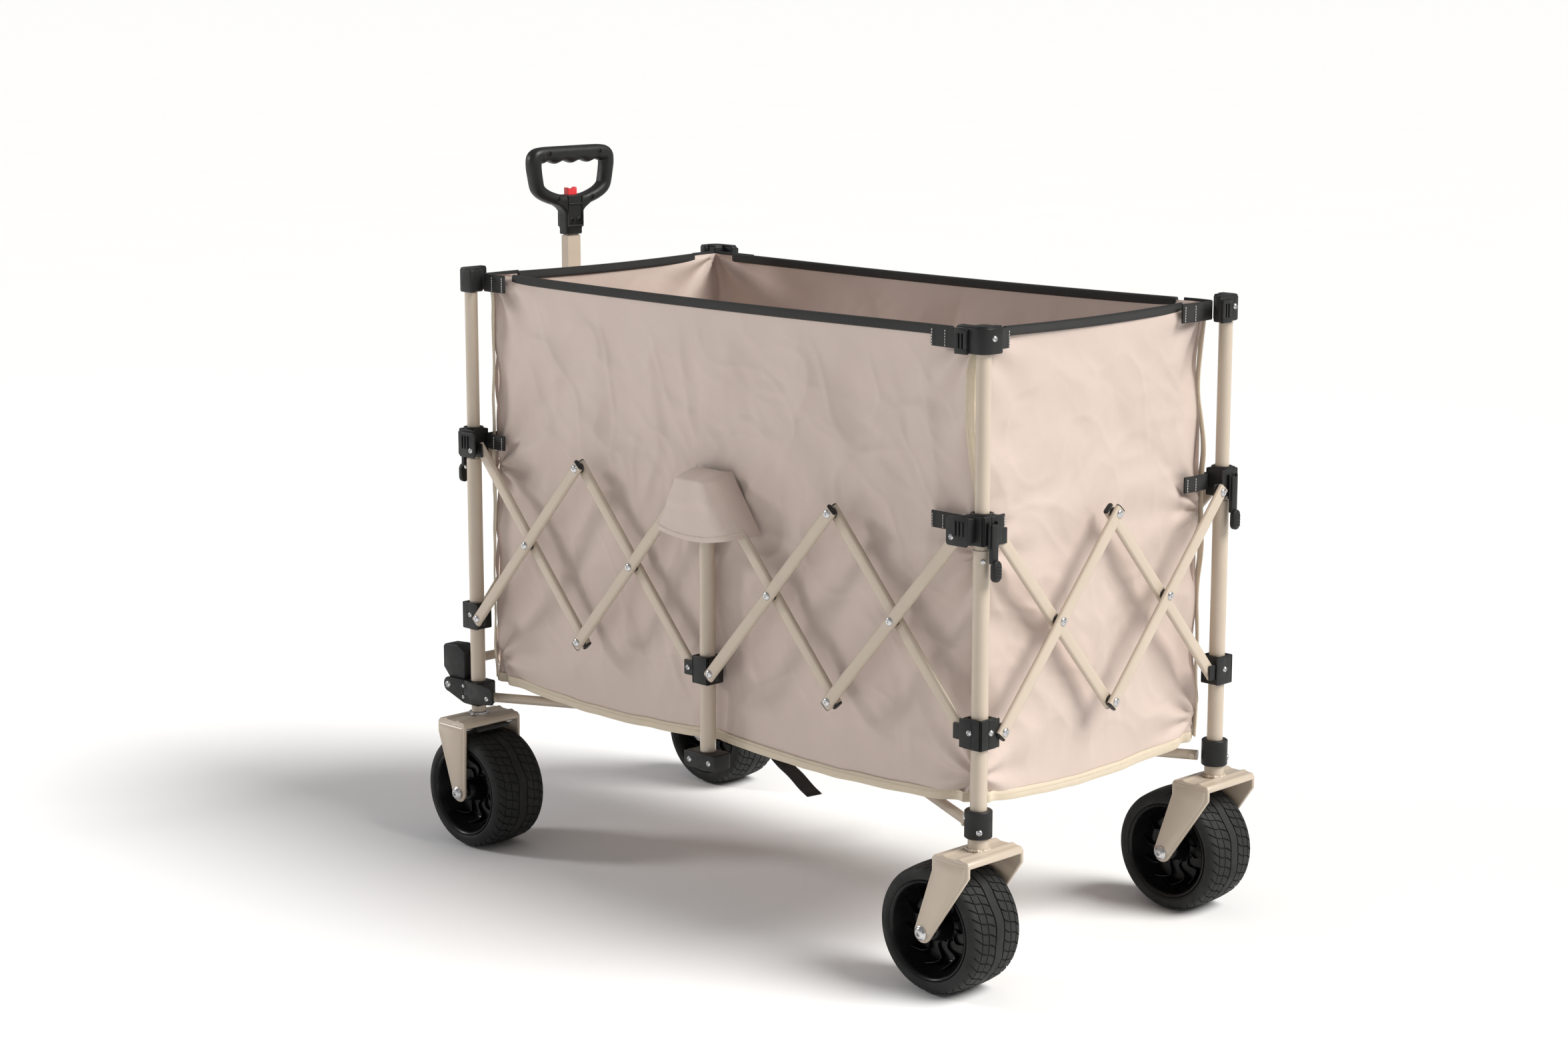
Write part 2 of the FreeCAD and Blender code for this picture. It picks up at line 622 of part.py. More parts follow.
def fork(name, corner, axle_u, swivels):
    """A wheel fork: crown, two legs and the axle through the wheel."""
    half = dim("fork_inner_width") / 2
    plate = dim("fork_plate")
    crown = dim("fork_crown_height")
    axle_z = dim("wheel_diameter") / 2
    axle_x = corner.along(axle_u)
    legs = []
    outer_y, inner_y = corner.y.value + half.value + plate.value, corner.y.value - half.value
    for side, y in (("left", outer_y), ("right", inner_y)):
        leg = fork_leg(name, side, dim("fork_crown_length").value / 2,
                       axle_x.value - corner.x.value, axle_z.value, y)
        leg.Placement.Base = FreeCAD.Vector(corner.x.value, y, 0)
        legs.append(leg)
    top = corner.box((-dim("fork_crown_length") / 2, dim("fork_crown_length") / 2),
                     (-half - plate, half + plate), (crown - PAST, crown + plate))
    axle = cylinder(dim("axle_diameter") / 2, (axle_x, corner.y - half - plate, axle_z),
                    (axle_x, corner.y + half + plate, axle_z))
    bolts = [
        cylinder(dim("bolt_head_radius"), (axle_x, corner.y + (half + plate) * s, axle_z),
                 (axle_x, corner.y + (half + plate + dim("bolt_head_height")) * s, axle_z))
        for s in (-1, 1)
    ]
    stem_high = dim("post_foot_height") - dim("swivel_gap") if swivels else dim("foot_bracket_low")
    stem_radius = dim("swivel_diameter") / 2 if swivels else post_radius + plate / 2
    stem = corner.upright(stem_radius, crown, stem_high)
    solids = [*legs, top, axle, *bolts]
    if swivels:
        whole = fuse(*solids, stem)
    else:
        collar_bore = corner.upright(post_radius + dim("fitting_gap"), dim("post_foot_height"),
                                     stem_high + PAST)
        whole = cut(fuse(*solids, stem), collar_bore)
    node(whole, f"fork_{name}")


def wheel(name, corner, axle_u):
    """A fat tyre on a dished rim, turned about the axle."""
    solids = []
    outer = dim("wheel_diameter").value / 2
    seat = dim("rim_diameter").value / 2
    width = dim("tyre_width").value / 2
    bore = dim("hub_bore").value / 2
    shoulder, lip = dim("tyre_shoulder").value, dim("rim_lip").value
    web, hub = dim("rim_web").value, dim("rim_hub_radius").value
    inside = seat + dim("tyre_gap").value
    tyre = [(width, inside), (width, outer - shoulder - lip), (width - lip, outer - shoulder / 2),
            (width - shoulder, outer - PAST), (0, outer)]
    rim = [(width - PAST, seat), (width - PAST, seat - lip), (shoulder, seat - shoulder), (web, hub + lip),
           (width - lip, hub), (width - lip, bore)]
    profiles = {
        "tyre": tyre + [(-x, radius) for x, radius in reversed(tyre[:-1])],
        "rim": rim + [(-x, radius) for x, radius in reversed(rim)],
    }
    for kind, outline in profiles.items():
        body = doc.addObject("PartDesign::Body", f"{kind}_{name}")
        sketch = new_sketch(body, "XY_Plane", f"{kind}_{name}_profile")
        add_outline(sketch, [(radius, along) for along, radius in outline])
        turned = body.newObject("PartDesign::Revolution", f"{kind}_{name}_turned")
        turned.Profile = sketch
        turned.ReferenceAxis = (body_plane(body, "Y_Axis"), [""])
        turned.Angle = 360
        body.Placement.Base = FreeCAD.Vector(corner.along(axle_u).value, corner.y.value, outer)
        solids.append(body)
    node(group(*solids), f"wheel_{name}")


def handle_base():
    """The plate on the front scissor's lower joint, with the cheeks that hold the handle."""
    face = shift + half_long + lug_plane + bar_gap_half + dim("bar_thickness")
    face = face + dim("rivet_head_height") + PAST
    axis_x = shift + half_long + dim("handle_offset")
    pivot = dim("handle_pivot_height")
    low = pivot - dim("cheek_drop")
    cheek = dim("cheek_thickness")
    half = dim("handle_width") / 2 + dim("handle_side_gap")
    pin_half = half + cheek + dim("bolt_head_height") / 2
    plate = box((face, face + dim("base_plate_thickness")), (-half - cheek, half + cheek),
                (low, pivot_low + dim("base_plate_rise")))
    cheeks = [
        box((face, axis_x + dim("cheek_reach")), (half * s, (half + cheek) * s),
            (low, pivot + dim("cheek_rise")))
        for s in (-1, 1)
    ]
    pin = cylinder(dim("tilt_pin_radius"), (axis_x, -pin_half, pivot), (axis_x, pin_half, pivot))
    node(fuse(plate, *cheeks, pin), "handle_base")


def handle_tube():
    """The outer rectangular tube, which tilts on the base's pin."""
    axis_x = shift + half_long + dim("handle_offset")
    half_w, half_d = dim("handle_width") / 2, dim("handle_depth") / 2
    wall = dim("handle_wall")
    pivot, high = dim("handle_pivot_height"), dim("handle_top_height")
    outside = box((axis_x - half_d, axis_x + half_d), (-half_w, half_w),
                  (pivot - dim("handle_foot_drop"), high))
    inside = box((axis_x - half_d + wall, axis_x + half_d - wall), (wall - half_w, half_w - wall),
                 (pivot + dim("handle_floor_rise"), high + PAST))
    bore = cylinder(dim("tilt_pin_radius") + dim("tilt_pin_gap"), (axis_x, -half_w - PAST, pivot),
                    (axis_x, half_w + PAST, pivot))
    node(cut(outside, inside, bore), "handle_outer_tube")


def handle_inner_tube():
    axis_x = shift + half_long + dim("handle_offset")
    slack = dim("handle_wall") + dim("sliding_gap")
    half_w, half_d = dim("handle_width") / 2 - slack, dim("handle_depth") / 2 - slack
    low = dim("handle_pivot_height") + dim("handle_inner_rise")
    high = dim("socket_low_height") + dim("socket_depth")
    tube = box((axis_x - half_d, axis_x + half_d), (-half_w, half_w), (low, high))
    node(tube, "handle_inner_tube")


def rounded_outline(sketch, half_width, low, high, radius):
    """A closed rectangle with round corners, in the sketch's own axes."""
    w = half_width - radius
    centres = [(w, high - radius), (-w, high - radius), (-w, low + radius), (w, low + radius)]
    points = []
    for i, (cx, cz) in enumerate(centres):
        turn = i * math.pi / 2
        arc = Part.ArcOfCircle(
            Part.Circle(FreeCAD.Vector(cx, cz, 0), FreeCAD.Vector(0, 0, 1), radius), turn, turn + math.pi / 2)
        sketch.addGeometry(arc, False)
        points.append((arc.StartPoint, arc.EndPoint))
    for i in range(4):
        sketch.addGeometry(Part.LineSegment(points[i][1], points[(i + 1) % 4][0]), False)


def grip():
    """The moulded D grip with its hand opening, its neck and the socket on the inner tube."""
    axis_x = shift.value + half_long.value + dim("handle_offset").value
    body = doc.addObject("PartDesign::Body", "grip_body")
    outline = new_sketch(body, "YZ_Plane", "grip_outline")
    low, high = dim("grip_shoulder_height").value, dim("grip_top_height").value
    half, thick = dim("grip_width").value / 2, dim("grip_thickness").value
    rounded_outline(outline, half, low, high, dim("grip_corner_radius").value)
    pad = body.newObject("PartDesign::Pad", "grip_pad")
    pad.Profile = outline
    pad.setExpression("Length", "sizes.grip_thickness")
    pad.Midplane = True
    hand = new_sketch(body, "YZ_Plane", "hand_opening")
    bar, edge = dim("grip_bar").value, dim("grip_side").value
    rounded_outline(hand, half - edge, low + bar, high - bar, dim("opening_corner_radius").value)
    doc.recompute()
    solid_volume = pad.Shape.Volume
    pocket = body.newObject("PartDesign::Pocket", "hand_pocket")
    pocket.Profile = hand
    pocket.Type = "ThroughAll"
    pocket.Midplane = True
    doc.recompute()
    if pocket.Shape.Volume >= solid_volume:
        raise RuntimeError("the hand opening cuts nothing")
    body.Placement.Base = FreeCAD.Vector(axis_x, 0, 0)
    half_socket = dim("socket_width") / 2
    depth = thick / 2 - dim("socket_inset").value
    socket_low = dim("socket_low_height")
    socket = box((axis_x - depth, axis_x + depth), (-half_socket, half_socket), (socket_low, low + bar / 2))
    slack = dim("handle_wall") + dim("fitting_gap")
    half_w, half_d = dim("handle_width") / 2 - slack, dim("handle_depth") / 2 - slack
    tube_hole = box((axis_x - half_d, axis_x + half_d), (-half_w, half_w),
                    (socket_low - PAST, socket_low + dim("socket_depth") + dim("fitting_gap")))
    half_b, half_bd, gap = dim("button_width") / 2, dim("button_depth") / 2, dim("button_gap")
    bar_high = dim("grip_shoulder_height") + dim("grip_bar")
    button_well = box((axis_x - half_bd - gap, axis_x + half_bd + gap), (-half_b - gap, half_b + gap),
                      (bar_high - dim("well_depth"), bar_high + PAST))
    node(cut(fuse(body, socket), tube_hole, button_well), "grip")
    button_low = bar_high - dim("button_sink")
    button = box((axis_x - half_bd, axis_x + half_bd), (-half_b, half_b),
                 (button_low, button_low + dim("button_height")))
    node(button, "release_button")


def bag():
    """The open fabric bag: four walls and a floor."""
    reach = sleeve_half + dim("bag_gap")
    half_x, half_y = half_long - reach, half_wide - reach
    wall = dim("bag_wall")
    low, high = dim("bag_low_height"), dim("bag_top_height")
    outside = box((shift - half_x, shift + half_x), (-half_y, half_y), (low, high))
    inside = box((shift - half_x + wall, shift + half_x - wall), (wall - half_y, half_y - wall),
                 (low + wall, high + PAST))
    node(cut(outside, inside), "bag")


corners = {name: Corner(*sides) for name, sides in CORNERS.items()}

for corner_name, place in corners.items():
    is_front = place.side_x > 0
    axle_inset = dim("caster_trail") if is_front else dim("rear_wheel_offset")
    corner_post(corner_name, place)
    corner_fittings(corner_name, place)
    slider(corner_name, place)
    fork(corner_name, place, axle_inset, is_front)
    wheel(corner_name, place, axle_inset)
all_bars()
for middle_name, side_sign in (("left", 1), ("right", -1)):
    middle_post(middle_name, side_sign)
    bracket = middle_bracket(side_sign, pivot_low, dim("middle_slider_height"), dim("sliding_gap"))
    node(bracket, f"middle_slider_{middle_name}")
floor_struts()
handle_base()
handle_tube()
handle_inner_tube()
grip()
bag()
doc.recompute()

for thing in doc.Objects:
    if any(state in thing.State for state in ("Invalid", "Error")):
        raise RuntimeError(f"{thing.Name} failed: {thing.State}")
os.makedirs("parts", exist_ok=True)
for piece in nodes:
    if piece.Shape.isNull() or not piece.Shape.isValid():
        raise RuntimeError(f"{piece.Label} has no valid shape")
    piece.Shape.exportStep(f"parts/{piece.Label}.step")
print(len(nodes), "nodes; bar pitch", round(bar_pitch, 3), "unit", round(unit_long, 3))
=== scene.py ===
import json
import math

import bmesh
import bpy
from mathutils import Matrix, Vector, noise


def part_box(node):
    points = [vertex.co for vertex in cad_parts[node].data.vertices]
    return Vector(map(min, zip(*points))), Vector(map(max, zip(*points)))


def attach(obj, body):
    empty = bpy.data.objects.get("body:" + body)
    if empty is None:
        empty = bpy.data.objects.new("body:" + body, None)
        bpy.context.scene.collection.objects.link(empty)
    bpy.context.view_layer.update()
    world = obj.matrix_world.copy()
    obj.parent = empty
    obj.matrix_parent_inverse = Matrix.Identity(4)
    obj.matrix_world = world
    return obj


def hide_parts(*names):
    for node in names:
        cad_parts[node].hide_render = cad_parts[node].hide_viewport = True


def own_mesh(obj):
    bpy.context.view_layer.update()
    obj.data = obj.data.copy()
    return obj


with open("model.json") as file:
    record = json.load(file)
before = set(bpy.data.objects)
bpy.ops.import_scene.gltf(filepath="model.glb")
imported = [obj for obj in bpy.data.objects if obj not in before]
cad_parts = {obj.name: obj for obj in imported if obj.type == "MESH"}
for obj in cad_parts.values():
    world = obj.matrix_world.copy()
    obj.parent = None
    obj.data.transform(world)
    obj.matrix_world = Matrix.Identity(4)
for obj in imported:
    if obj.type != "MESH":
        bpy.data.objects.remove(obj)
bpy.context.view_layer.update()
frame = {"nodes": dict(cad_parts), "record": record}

UP = Vector((0, 0, 1))
NODES = frame["nodes"]
BODY_OF = {n: b for b, ns in frame["record"]["behaviour"]["bodies"].items() for n in ns}

# Sizes in metres that several pieces share.
POST_RADIUS = 0.011
SLEEVE_HALF = 0.0155
LUG_PLANE = 0.012
BAR_GAP_HALF = 0.0019
BAR_WIDTH = 0.018
BAR_THICKNESS = 0.008
LOWER_PIVOT = 0.347
UPPER_PIVOT = 0.598

CORNERS = {}
for corner_name in ("rear_left", "front_left", "rear_right", "front_right"):
    post_low, post_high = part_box(f"corner_post_{corner_name}")
    CORNERS[corner_name] = Vector(((post_low.x + post_high.x) / 2, (post_low.y + post_high.y) / 2, 0))
POST_Y = abs(CORNERS["rear_left"].y)
BAG_LOW, BAG_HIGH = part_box("bag")
MIDDLE_X = (BAG_LOW.x + BAG_HIGH.x) / 2


# ---------------------------------------------------------------- camera and studio

CAMERA_PLACE = (-2.9473, 3.0535, 1.3165)
CAMERA_YAW, CAMERA_PITCH = math.radians(-45.247), math.radians(-10.686)
LENS = 69.7
FLOOR_HALF = 120
FAR_CLIP = 300

# The white surroundings: what they light the cart with, and how much brighter the camera sees them.
ROOM_LIGHT = 0.24
BACKDROP_EXTRA = 0.76


def add_to_scene(name, data):
    item = bpy.data.objects.new(name, data)
    bpy.context.scene.collection.objects.link(item)
    return item


def make_camera():
    data = bpy.data.cameras.new("camera")
    data.lens = LENS
    data.sensor_width = 36
    data.clip_end = FAR_CLIP
    camera = add_to_scene("camera", data)
    camera.location = CAMERA_PLACE
    level = math.cos(CAMERA_PITCH)
    look = Vector((math.cos(CAMERA_YAW) * level, math.sin(CAMERA_YAW) * level, math.sin(CAMERA_PITCH)))
    camera.rotation_euler = look.to_track_quat("-Z", "Y").to_euler()
    bpy.context.scene.camera = camera


def add_light(name, kind, strength, colour):
    data = bpy.data.lights.new(name, kind)
    data.energy = strength
    data.color = colour
    return add_to_scene(name, data)


def area_light(name, place, size, strength, colour=(1, 1, 1)):
    """A square lamp that points at the middle of the cart."""
    light = add_light(name, "AREA", strength, colour)
    light.data.size = size
    light.location = place
    light.rotation_euler = (Vector((0, 0, 0.45)) - Vector(place)).to_track_quat("-Z", "Y").to_euler()


def make_studio():
    bpy.context.scene.view_settings.view_transform = "Standard"
    world = bpy.data.worlds.new("studio")
    bpy.context.scene.world = world
    world.use_nodes = True
    tree = world.node_tree
    background = tree.nodes["Background"]
    background.inputs["Color"].default_value = (1, 1, 1, 1)
    strength = tree.nodes.new("ShaderNodeMath")
    strength.operation = "MULTIPLY_ADD"
    strength.inputs[1].default_value = BACKDROP_EXTRA
    strength.inputs[2].default_value = ROOM_LIGHT
    seen = tree.nodes.new("ShaderNodeLightPath").outputs["Is Camera Ray"]
    tree.links.new(seen, strength.inputs[0])
    tree.links.new(strength.outputs[0], background.inputs["Strength"])
    key = add_light("key", "SUN", 3.9, (1.0, 0.985, 0.945))
    key.data.angle = math.radians(34)
    key.rotation_euler = Vector((-1.0, -0.42, 1.05)).to_track_quat("Z", "Y").to_euler()
    area_light("side", (3.3, 2.3, 2.1), 0.7, 52, (1.0, 0.965, 0.95))
    area_light("fill", (-0.9, 4.4, 2.0), 1.6, 4)
    verts = [(x * FLOOR_HALF, y * FLOOR_HALF, 0) for x, y in ((-1, -1), (1, -1), (1, 1), (-1, 1))]
    material = solid_material("studio_floor", (0.93, 0.935, 0.945), 0.85, (1.5, 3, 0.99, 1.01),
                              Specular_IOR_Level=0.1)
    mesh_piece("floor", verts, [(0, 1, 2, 3)], material, smooth=False)


# ---------------------------------------------------------------- materials

# Where a Mix node in colour mode has its factor, its two colours and its result.
MIX_COLOUR_INPUTS = (0, 6, 7)
MIX_COLOUR_OUTPUT = 2

# The part of a noise texture's range that most of its values lie in.
NOISE_LOW, NOISE_HIGH = 0.3, 0.7


class Shader:
    """A material under construction, with short calls for its nodes."""

    def __init__(self, name, colour, roughness, metallic=0.0, **settings):
        self.material = bpy.data.materials.new(name)
        self.material.use_nodes = True
        self.tree = self.material.node_tree
        self.surface = self.tree.nodes["Principled BSDF"]
        self.surface.inputs["Base Color"].default_value = (*colour, 1)
        self.surface.inputs["Roughness"].default_value = roughness
        self.surface.inputs["Metallic"].default_value = metallic
        for socket, value in settings.items():
            self.surface.inputs[socket.replace("_", " ")].default_value = value
        self.colour = colour
        self.coords = self.tree.nodes.new("ShaderNodeTexCoord").outputs["Object"]
        self.normal = None

    def link(self, a, b):
        self.tree.links.new(a, b)

    def math(self, operation, a, b=0.0):
        node = self.tree.nodes.new("ShaderNodeMath")
        node.operation = operation
        for socket, value in zip(node.inputs, (a, b)):
            if isinstance(value, (int, float)):
                socket.default_value = value
            else:
                self.link(value, socket)
        return node.outputs[0]

    def noise(self, scale, detail):
        node = self.tree.nodes.new("ShaderNodeTexNoise")
        node.inputs["Scale"].default_value = scale
        node.inputs["Detail"].default_value = detail
        self.link(self.coords, node.inputs["Vector"])
        return node.outputs["Fac"]

    def ribs(self, axes, period):
        """A wave from 0 to 1 along the sum of the named axes."""
        split = self.tree.nodes.new("ShaderNodeSeparateXYZ")
        self.link(self.coords, split.inputs[0])
        along = split.outputs[axes[0]]
        for axis in axes[1:]:
            along = self.math("ADD", along, split.outputs[axis])
        turn = self.math("MULTIPLY", along, 2 * math.pi / period)
        return self.math("MULTIPLY", self.math("ADD", self.math("SINE", turn), 1.0), 0.5)

    def tint(self, value, darker, lighter):
        """Varies the base colour between two multiples of it."""
        mix = self.tree.nodes.new("ShaderNodeMix")
        mix.data_type = "RGBA"
        factor, dark, light = (mix.inputs[i] for i in MIX_COLOUR_INPUTS)
        dark.default_value = (*(c * darker for c in self.colour), 1)
        light.default_value = (*(min(1, c * lighter) for c in self.colour), 1)
        self.link(value, factor)
        self.link(mix.outputs[MIX_COLOUR_OUTPUT], self.surface.inputs["Base Color"])

    def rough(self, value, low, high):
        node = self.tree.nodes.new("ShaderNodeMapRange")
        node.inputs["From Min"].default_value = NOISE_LOW
        node.inputs["From Max"].default_value = NOISE_HIGH
        node.inputs["To Min"].default_value = low
        node.inputs["To Max"].default_value = high
        self.link(value, node.inputs["Value"])
        self.link(node.outputs[0], self.surface.inputs["Roughness"])

    def bump(self, height, distance, strength):
        node = self.tree.nodes.new("ShaderNodeBump")
        node.inputs["Distance"].default_value = distance
        node.inputs["Strength"].default_value = strength
        self.link(height, node.inputs["Height"])
        if self.normal is not None:
            self.link(self.normal, node.inputs["Normal"])
        self.normal = node.outputs["Normal"]
        self.link(self.normal, self.surface.inputs["Normal"])


def solid_material(name, colour, roughness, tint, rough=None, bump=None, **settings):
    """A hard material. tint, rough and bump each start with the scale and detail of their noise."""
    shader = Shader(name, colour, roughness, **settings)
    for add, values in ((shader.tint, tint), (shader.rough, rough), (shader.bump, bump)):
        if values:
            add(shader.noise(*values[:2]), *values[2:])
    return shader.material


def woven_material(name, colour, across, period, roughness, sheen, depth):
    """A plain weave: crossing ribs along the given axes, with uneven threads and soft blotches."""
    shader = Shader(name, colour, roughness, Sheen_Weight=sheen, Sheen_Roughness=0.45)
    warp = shader.ribs(across[0], period)
    weft = shader.ribs(across[1], period)
    weave = shader.math("MAXIMUM", shader.math("MULTIPLY", warp, shader.math("SUBTRACT", 1.0, weft)),
                        shader.math("MULTIPLY", weft, shader.math("SUBTRACT", 1.0, warp)))
    slubs = shader.noise(900, 2)
    blotches = shader.noise(7, 4)
    mixed = shader.math("ADD", shader.math("MULTIPLY", weave, 0.4),
                        shader.math("ADD", shader.math("MULTIPLY", slubs, 0.35),
                                    shader.math("MULTIPLY", blotches, 0.25)))
    shader.tint(mixed, 0.88, 1.12)
    shader.rough(blotches, roughness - 0.05, roughness + 0.05)
    shader.bump(shader.noise(26, 4), 0.0012, 0.5)
    shader.bump(weave, depth, 0.8)
    return shader.material


FABRIC = (0.60, 0.488, 0.432)
ZINC_NOISE = {"tint": (120, 4, 0.8, 1.1), "rough": (160, 4, 0.2, 0.42), "bump": (1200, 2, 0.00006, 0.5)}

PAINT = solid_material("beige_powder_coat", (0.54, 0.455, 0.365), 0.3, (24, 4, 0.94, 1.05),
                       (60, 4, 0.28, 0.42), (700, 2, 0.00012, 0.6), Coat_Weight=0.25, Coat_Roughness=0.22)
PLASTIC = solid_material("black_moulded_plastic", (0.0120, 0.0123, 0.0126), 0.42, (40, 4, 0.75, 1.5),
                         (90, 5, 0.34, 0.55), (1500, 2, 0.0001, 0.7), Specular_IOR_Level=0.3)
RIM = solid_material("rim_plastic", (0.004, 0.004, 0.0042), 0.3, (30, 3, 0.8, 1.4), (70, 4, 0.24, 0.4),
                     (900, 2, 0.00008, 0.5), Specular_IOR_Level=0.22, Coat_Weight=0.08, Coat_Roughness=0.12)
RUBBER = solid_material("tyre_rubber", (0.0150, 0.0155, 0.0155), 0.6, (18, 5, 0.7, 1.9), (50, 5, 0.55, 0.8),
                        (650, 3, 0.0002, 0.7), Specular_IOR_Level=0.26)
ZINC = solid_material("zinc_steel", (0.62, 0.62, 0.63), 0.28, metallic=1.0, **ZINC_NOISE)
# Screw metal darkened to near black as painted shade of the deep screw holes on the grip; its glints are real
# reflection.
HOLE_SHADE_SCREW_METAL = solid_material("screw_metal_painted_hole_shade", (0.045, 0.045, 0.048), 0.28, metallic=1.0, **ZINC_NOISE)
RED = solid_material("red_button", (0.72, 0.012, 0.02), 0.3, (60, 3, 0.9, 1.1), None, (1400, 2, 0.00005, 0.4),
                     Coat_Weight=0.3, Coat_Roughness=0.1)
FABRIC_LONG = woven_material("polyester_sides", FABRIC, ("X", "Z"), 0.0013, 0.42, 0.25, 0.0002)
FABRIC_WIDE = woven_material("polyester_ends", FABRIC, ("Y", "Z"), 0.0013, 0.42, 0.25, 0.0002)
FABRIC_FLOOR = woven_material("polyester_floor", FABRIC, ("X", "Y"), 0.0013, 0.55, 0.3, 0.0002)
TAPE_CLOTH = woven_material("khaki_tape", (0.70, 0.60, 0.46), ("XY", "Z"), 0.0021, 0.72, 0.25, 0.0005)
BLACK_WEB = woven_material("black_webbing", (0.0065, 0.0065, 0.0068), ("XYZ", "Z"), 0.0014, 0.62, 0.05,
                           0.0004)
PALE_THREAD = woven_material("pale_thread", (0.72, 0.64, 0.52), ("XY", "Z"), 0.0008, 0.7, 0.2, 0.0001)
WHITE_THREAD = woven_material("white_thread", (0.80, 0.79, 0.76), ("XY", "Z"), 0.0008, 0.7, 0.2, 0.0001)


# ---------------------------------------------------------------- mesh helpers

def mesh_piece(name, verts, faces, material, smooth=True):
    mesh = bpy.data.meshes.new(name)
    mesh.from_pydata([tuple(v) for v in verts], [], faces)
    mesh.update()
    mesh.materials.append(material)
    if smooth:
        mesh.shade_smooth()
    return add_to_scene(name, mesh)


def solid(verts, faces, material):
    """A closed mesh whose faces are turned to look outward."""
    piece = mesh_piece("solid", verts, faces, material)
    edit = bmesh.new()
    edit.from_mesh(piece.data)
    bmesh.ops.recalc_face_normals(edit, faces=edit.faces)
    edit.to_mesh(piece.data)
    edit.free()
    return piece


def quads(rows, count, base=0, strip=False, wrapped=False):
    """Faces between rows of count points: rings, or open strips; wrapped joins the last row to the first."""
    faces = []
    for i in range(rows if wrapped else rows - 1):
        a, b = base + i * count, base + (i + 1) % rows * count
        for j in range(count - 1 if strip else count):
            k = (j + 1) % count
            faces.append((a + j, a + k, b + k, b + j))
    return faces


def bevel(piece, width, segments=3, angle=35):
    """Rounds the edges sharper than an angle, as plain mesh."""
    modifier = piece.modifiers.new("bevel", "BEVEL")
    modifier.width = width
    modifier.segments = segments
    modifier.limit_method = "ANGLE"
    modifier.angle_limit = math.radians(angle)
    modifier.harden_normals = True
    graph = bpy.context.evaluated_depsgraph_get()
    mesh = bpy.data.meshes.new_from_object(piece.evaluated_get(graph))
    piece.modifiers.clear()
    piece.data = mesh
    return piece


def join(parts):
    """One mesh from several, each keeping its own material."""
    verts, faces, slots, materials = [], [], [], []
    for part in parts:
        mesh = part.data
        base = len(verts)
        verts += [part.matrix_world @ v.co for v in mesh.vertices]
        local = []
        for material in mesh.materials:
            if material not in materials:
                materials.append(material)
            local.append(materials.index(material))
        for polygon in mesh.polygons:
            faces.append([base + i for i in polygon.vertices])
            slots.append(local[polygon.material_index])
        bpy.data.objects.remove(part)
    piece = mesh_piece("joined", verts, faces, materials[0])
    for material in materials[1:]:
        piece.data.materials.append(material)
    piece.data.polygons.foreach_set("material_index", slots)
    piece.data.set_sharp_from_angle(angle=math.radians(38))
    return piece


def frame_matrix(origin, x_axis, y_axis):
    matrix = Matrix((x_axis, y_axis, x_axis.cross(y_axis))).transposed().to_4x4()
    matrix.translation = origin
    return matrix


def block(low, high, rounding=0.001):
    """A plastic block between two corners."""
    x0, y0, z0 = low
    x1, y1, z1 = high
    verts = [(x, y, z) for x in (x0, x1) for y in (y0, y1) for z in (z0, z1)]
    faces = [(0, 1, 3, 2), (4, 6, 7, 5), (0, 4, 5, 1), (2, 3, 7, 6), (0, 2, 6, 4), (1, 5, 7, 3)]
    return bevel(solid(verts, faces, PLASTIC), rounding)


def loft(sections, material):
    """Joins outlines with the same number of points, from the first to the last, and closes both ends."""
    count = len(sections[0])
    last = (len(sections) - 1) * count
    faces = quads(len(sections), count) + [tuple(range(count - 1, -1, -1)), tuple(range(last, last + count))]
    return solid([point for section in sections for point in section], faces, material)


def prism(outline, depth, material, matrix, rounding, segments=3):
    """An outline in the matrix's XY plane, raised along its Z between two heights."""
    count = len(outline)
    verts = [matrix @ Vector((x, y, z)) for z in depth for x, y in outline]
    faces = [tuple(range(count)), tuple(range(2 * count - 1, count - 1, -1))] + quads(2, count)
    return bevel(solid(verts, faces, material), rounding, segments)


def arc_points(centre, radius, start, end, steps):
    return [(centre[0] + radius * math.cos(a), centre[1] + radius * math.sin(a))
            for a in (math.radians(start + (end - start) * i / steps) for i in range(steps + 1))]


def stadium(half_length, radius, steps):
    return (arc_points((half_length, 0), radius, -90, 90, steps)
            + arc_points((-half_length, 0), radius, 90, 270, steps))


def rounded_rectangle(half_width, half_height, radius, steps):
    w, h = half_width - radius, half_height - radius
    corners = (((w, h), 0), ((-w, h), 90), ((-w, -h), 180), ((w, -h), 270))
    return [point for centre, start in corners
            for point in arc_points(centre, radius, start, start + 90, steps)]


def lathe(profile, material, matrix, steps=40):
    """Turns (radius, height) points about the matrix's Z. Ends on the axis close it."""
    verts, rings = [], []
    for radius, height in profile:
        if radius < 1e-6:
            rings.append([len(verts)] * steps)
            verts.append(matrix @ Vector((0, 0, height)))
            continue
        rings.append(list(range(len(verts), len(verts) + steps)))
        for i in range(steps):
            turn = 2 * math.pi * i / steps
            verts.append(matrix @ Vector((radius * math.cos(turn), radius * math.sin(turn), height)))
    faces = []
    for a, b in zip(rings, rings[1:]):
        for i in range(steps):
            j = (i + 1) % steps
            face = list(dict.fromkeys((a[i], a[j], b[j], b[i])))
            if len(face) > 2:
                faces.append(face)
    piece = solid(verts, faces, material)
    piece.data.set_sharp_from_angle(angle=math.radians(32))
    return piece


def rod(radius, low, high):
    """The profile of a plain cylinder, for lathe."""
    return [(0.0, low), (radius, low), (radius, high), (0.0, high)]


def aim(origin, direction, roll=0.0):
    """A matrix whose Z points along a direction."""
    turn = Vector(direction).to_track_quat("Z", "Y").to_matrix().to_4x4()
    return Matrix.Translation(origin) @ turn @ Matrix.Rotation(roll, 4, "Z")


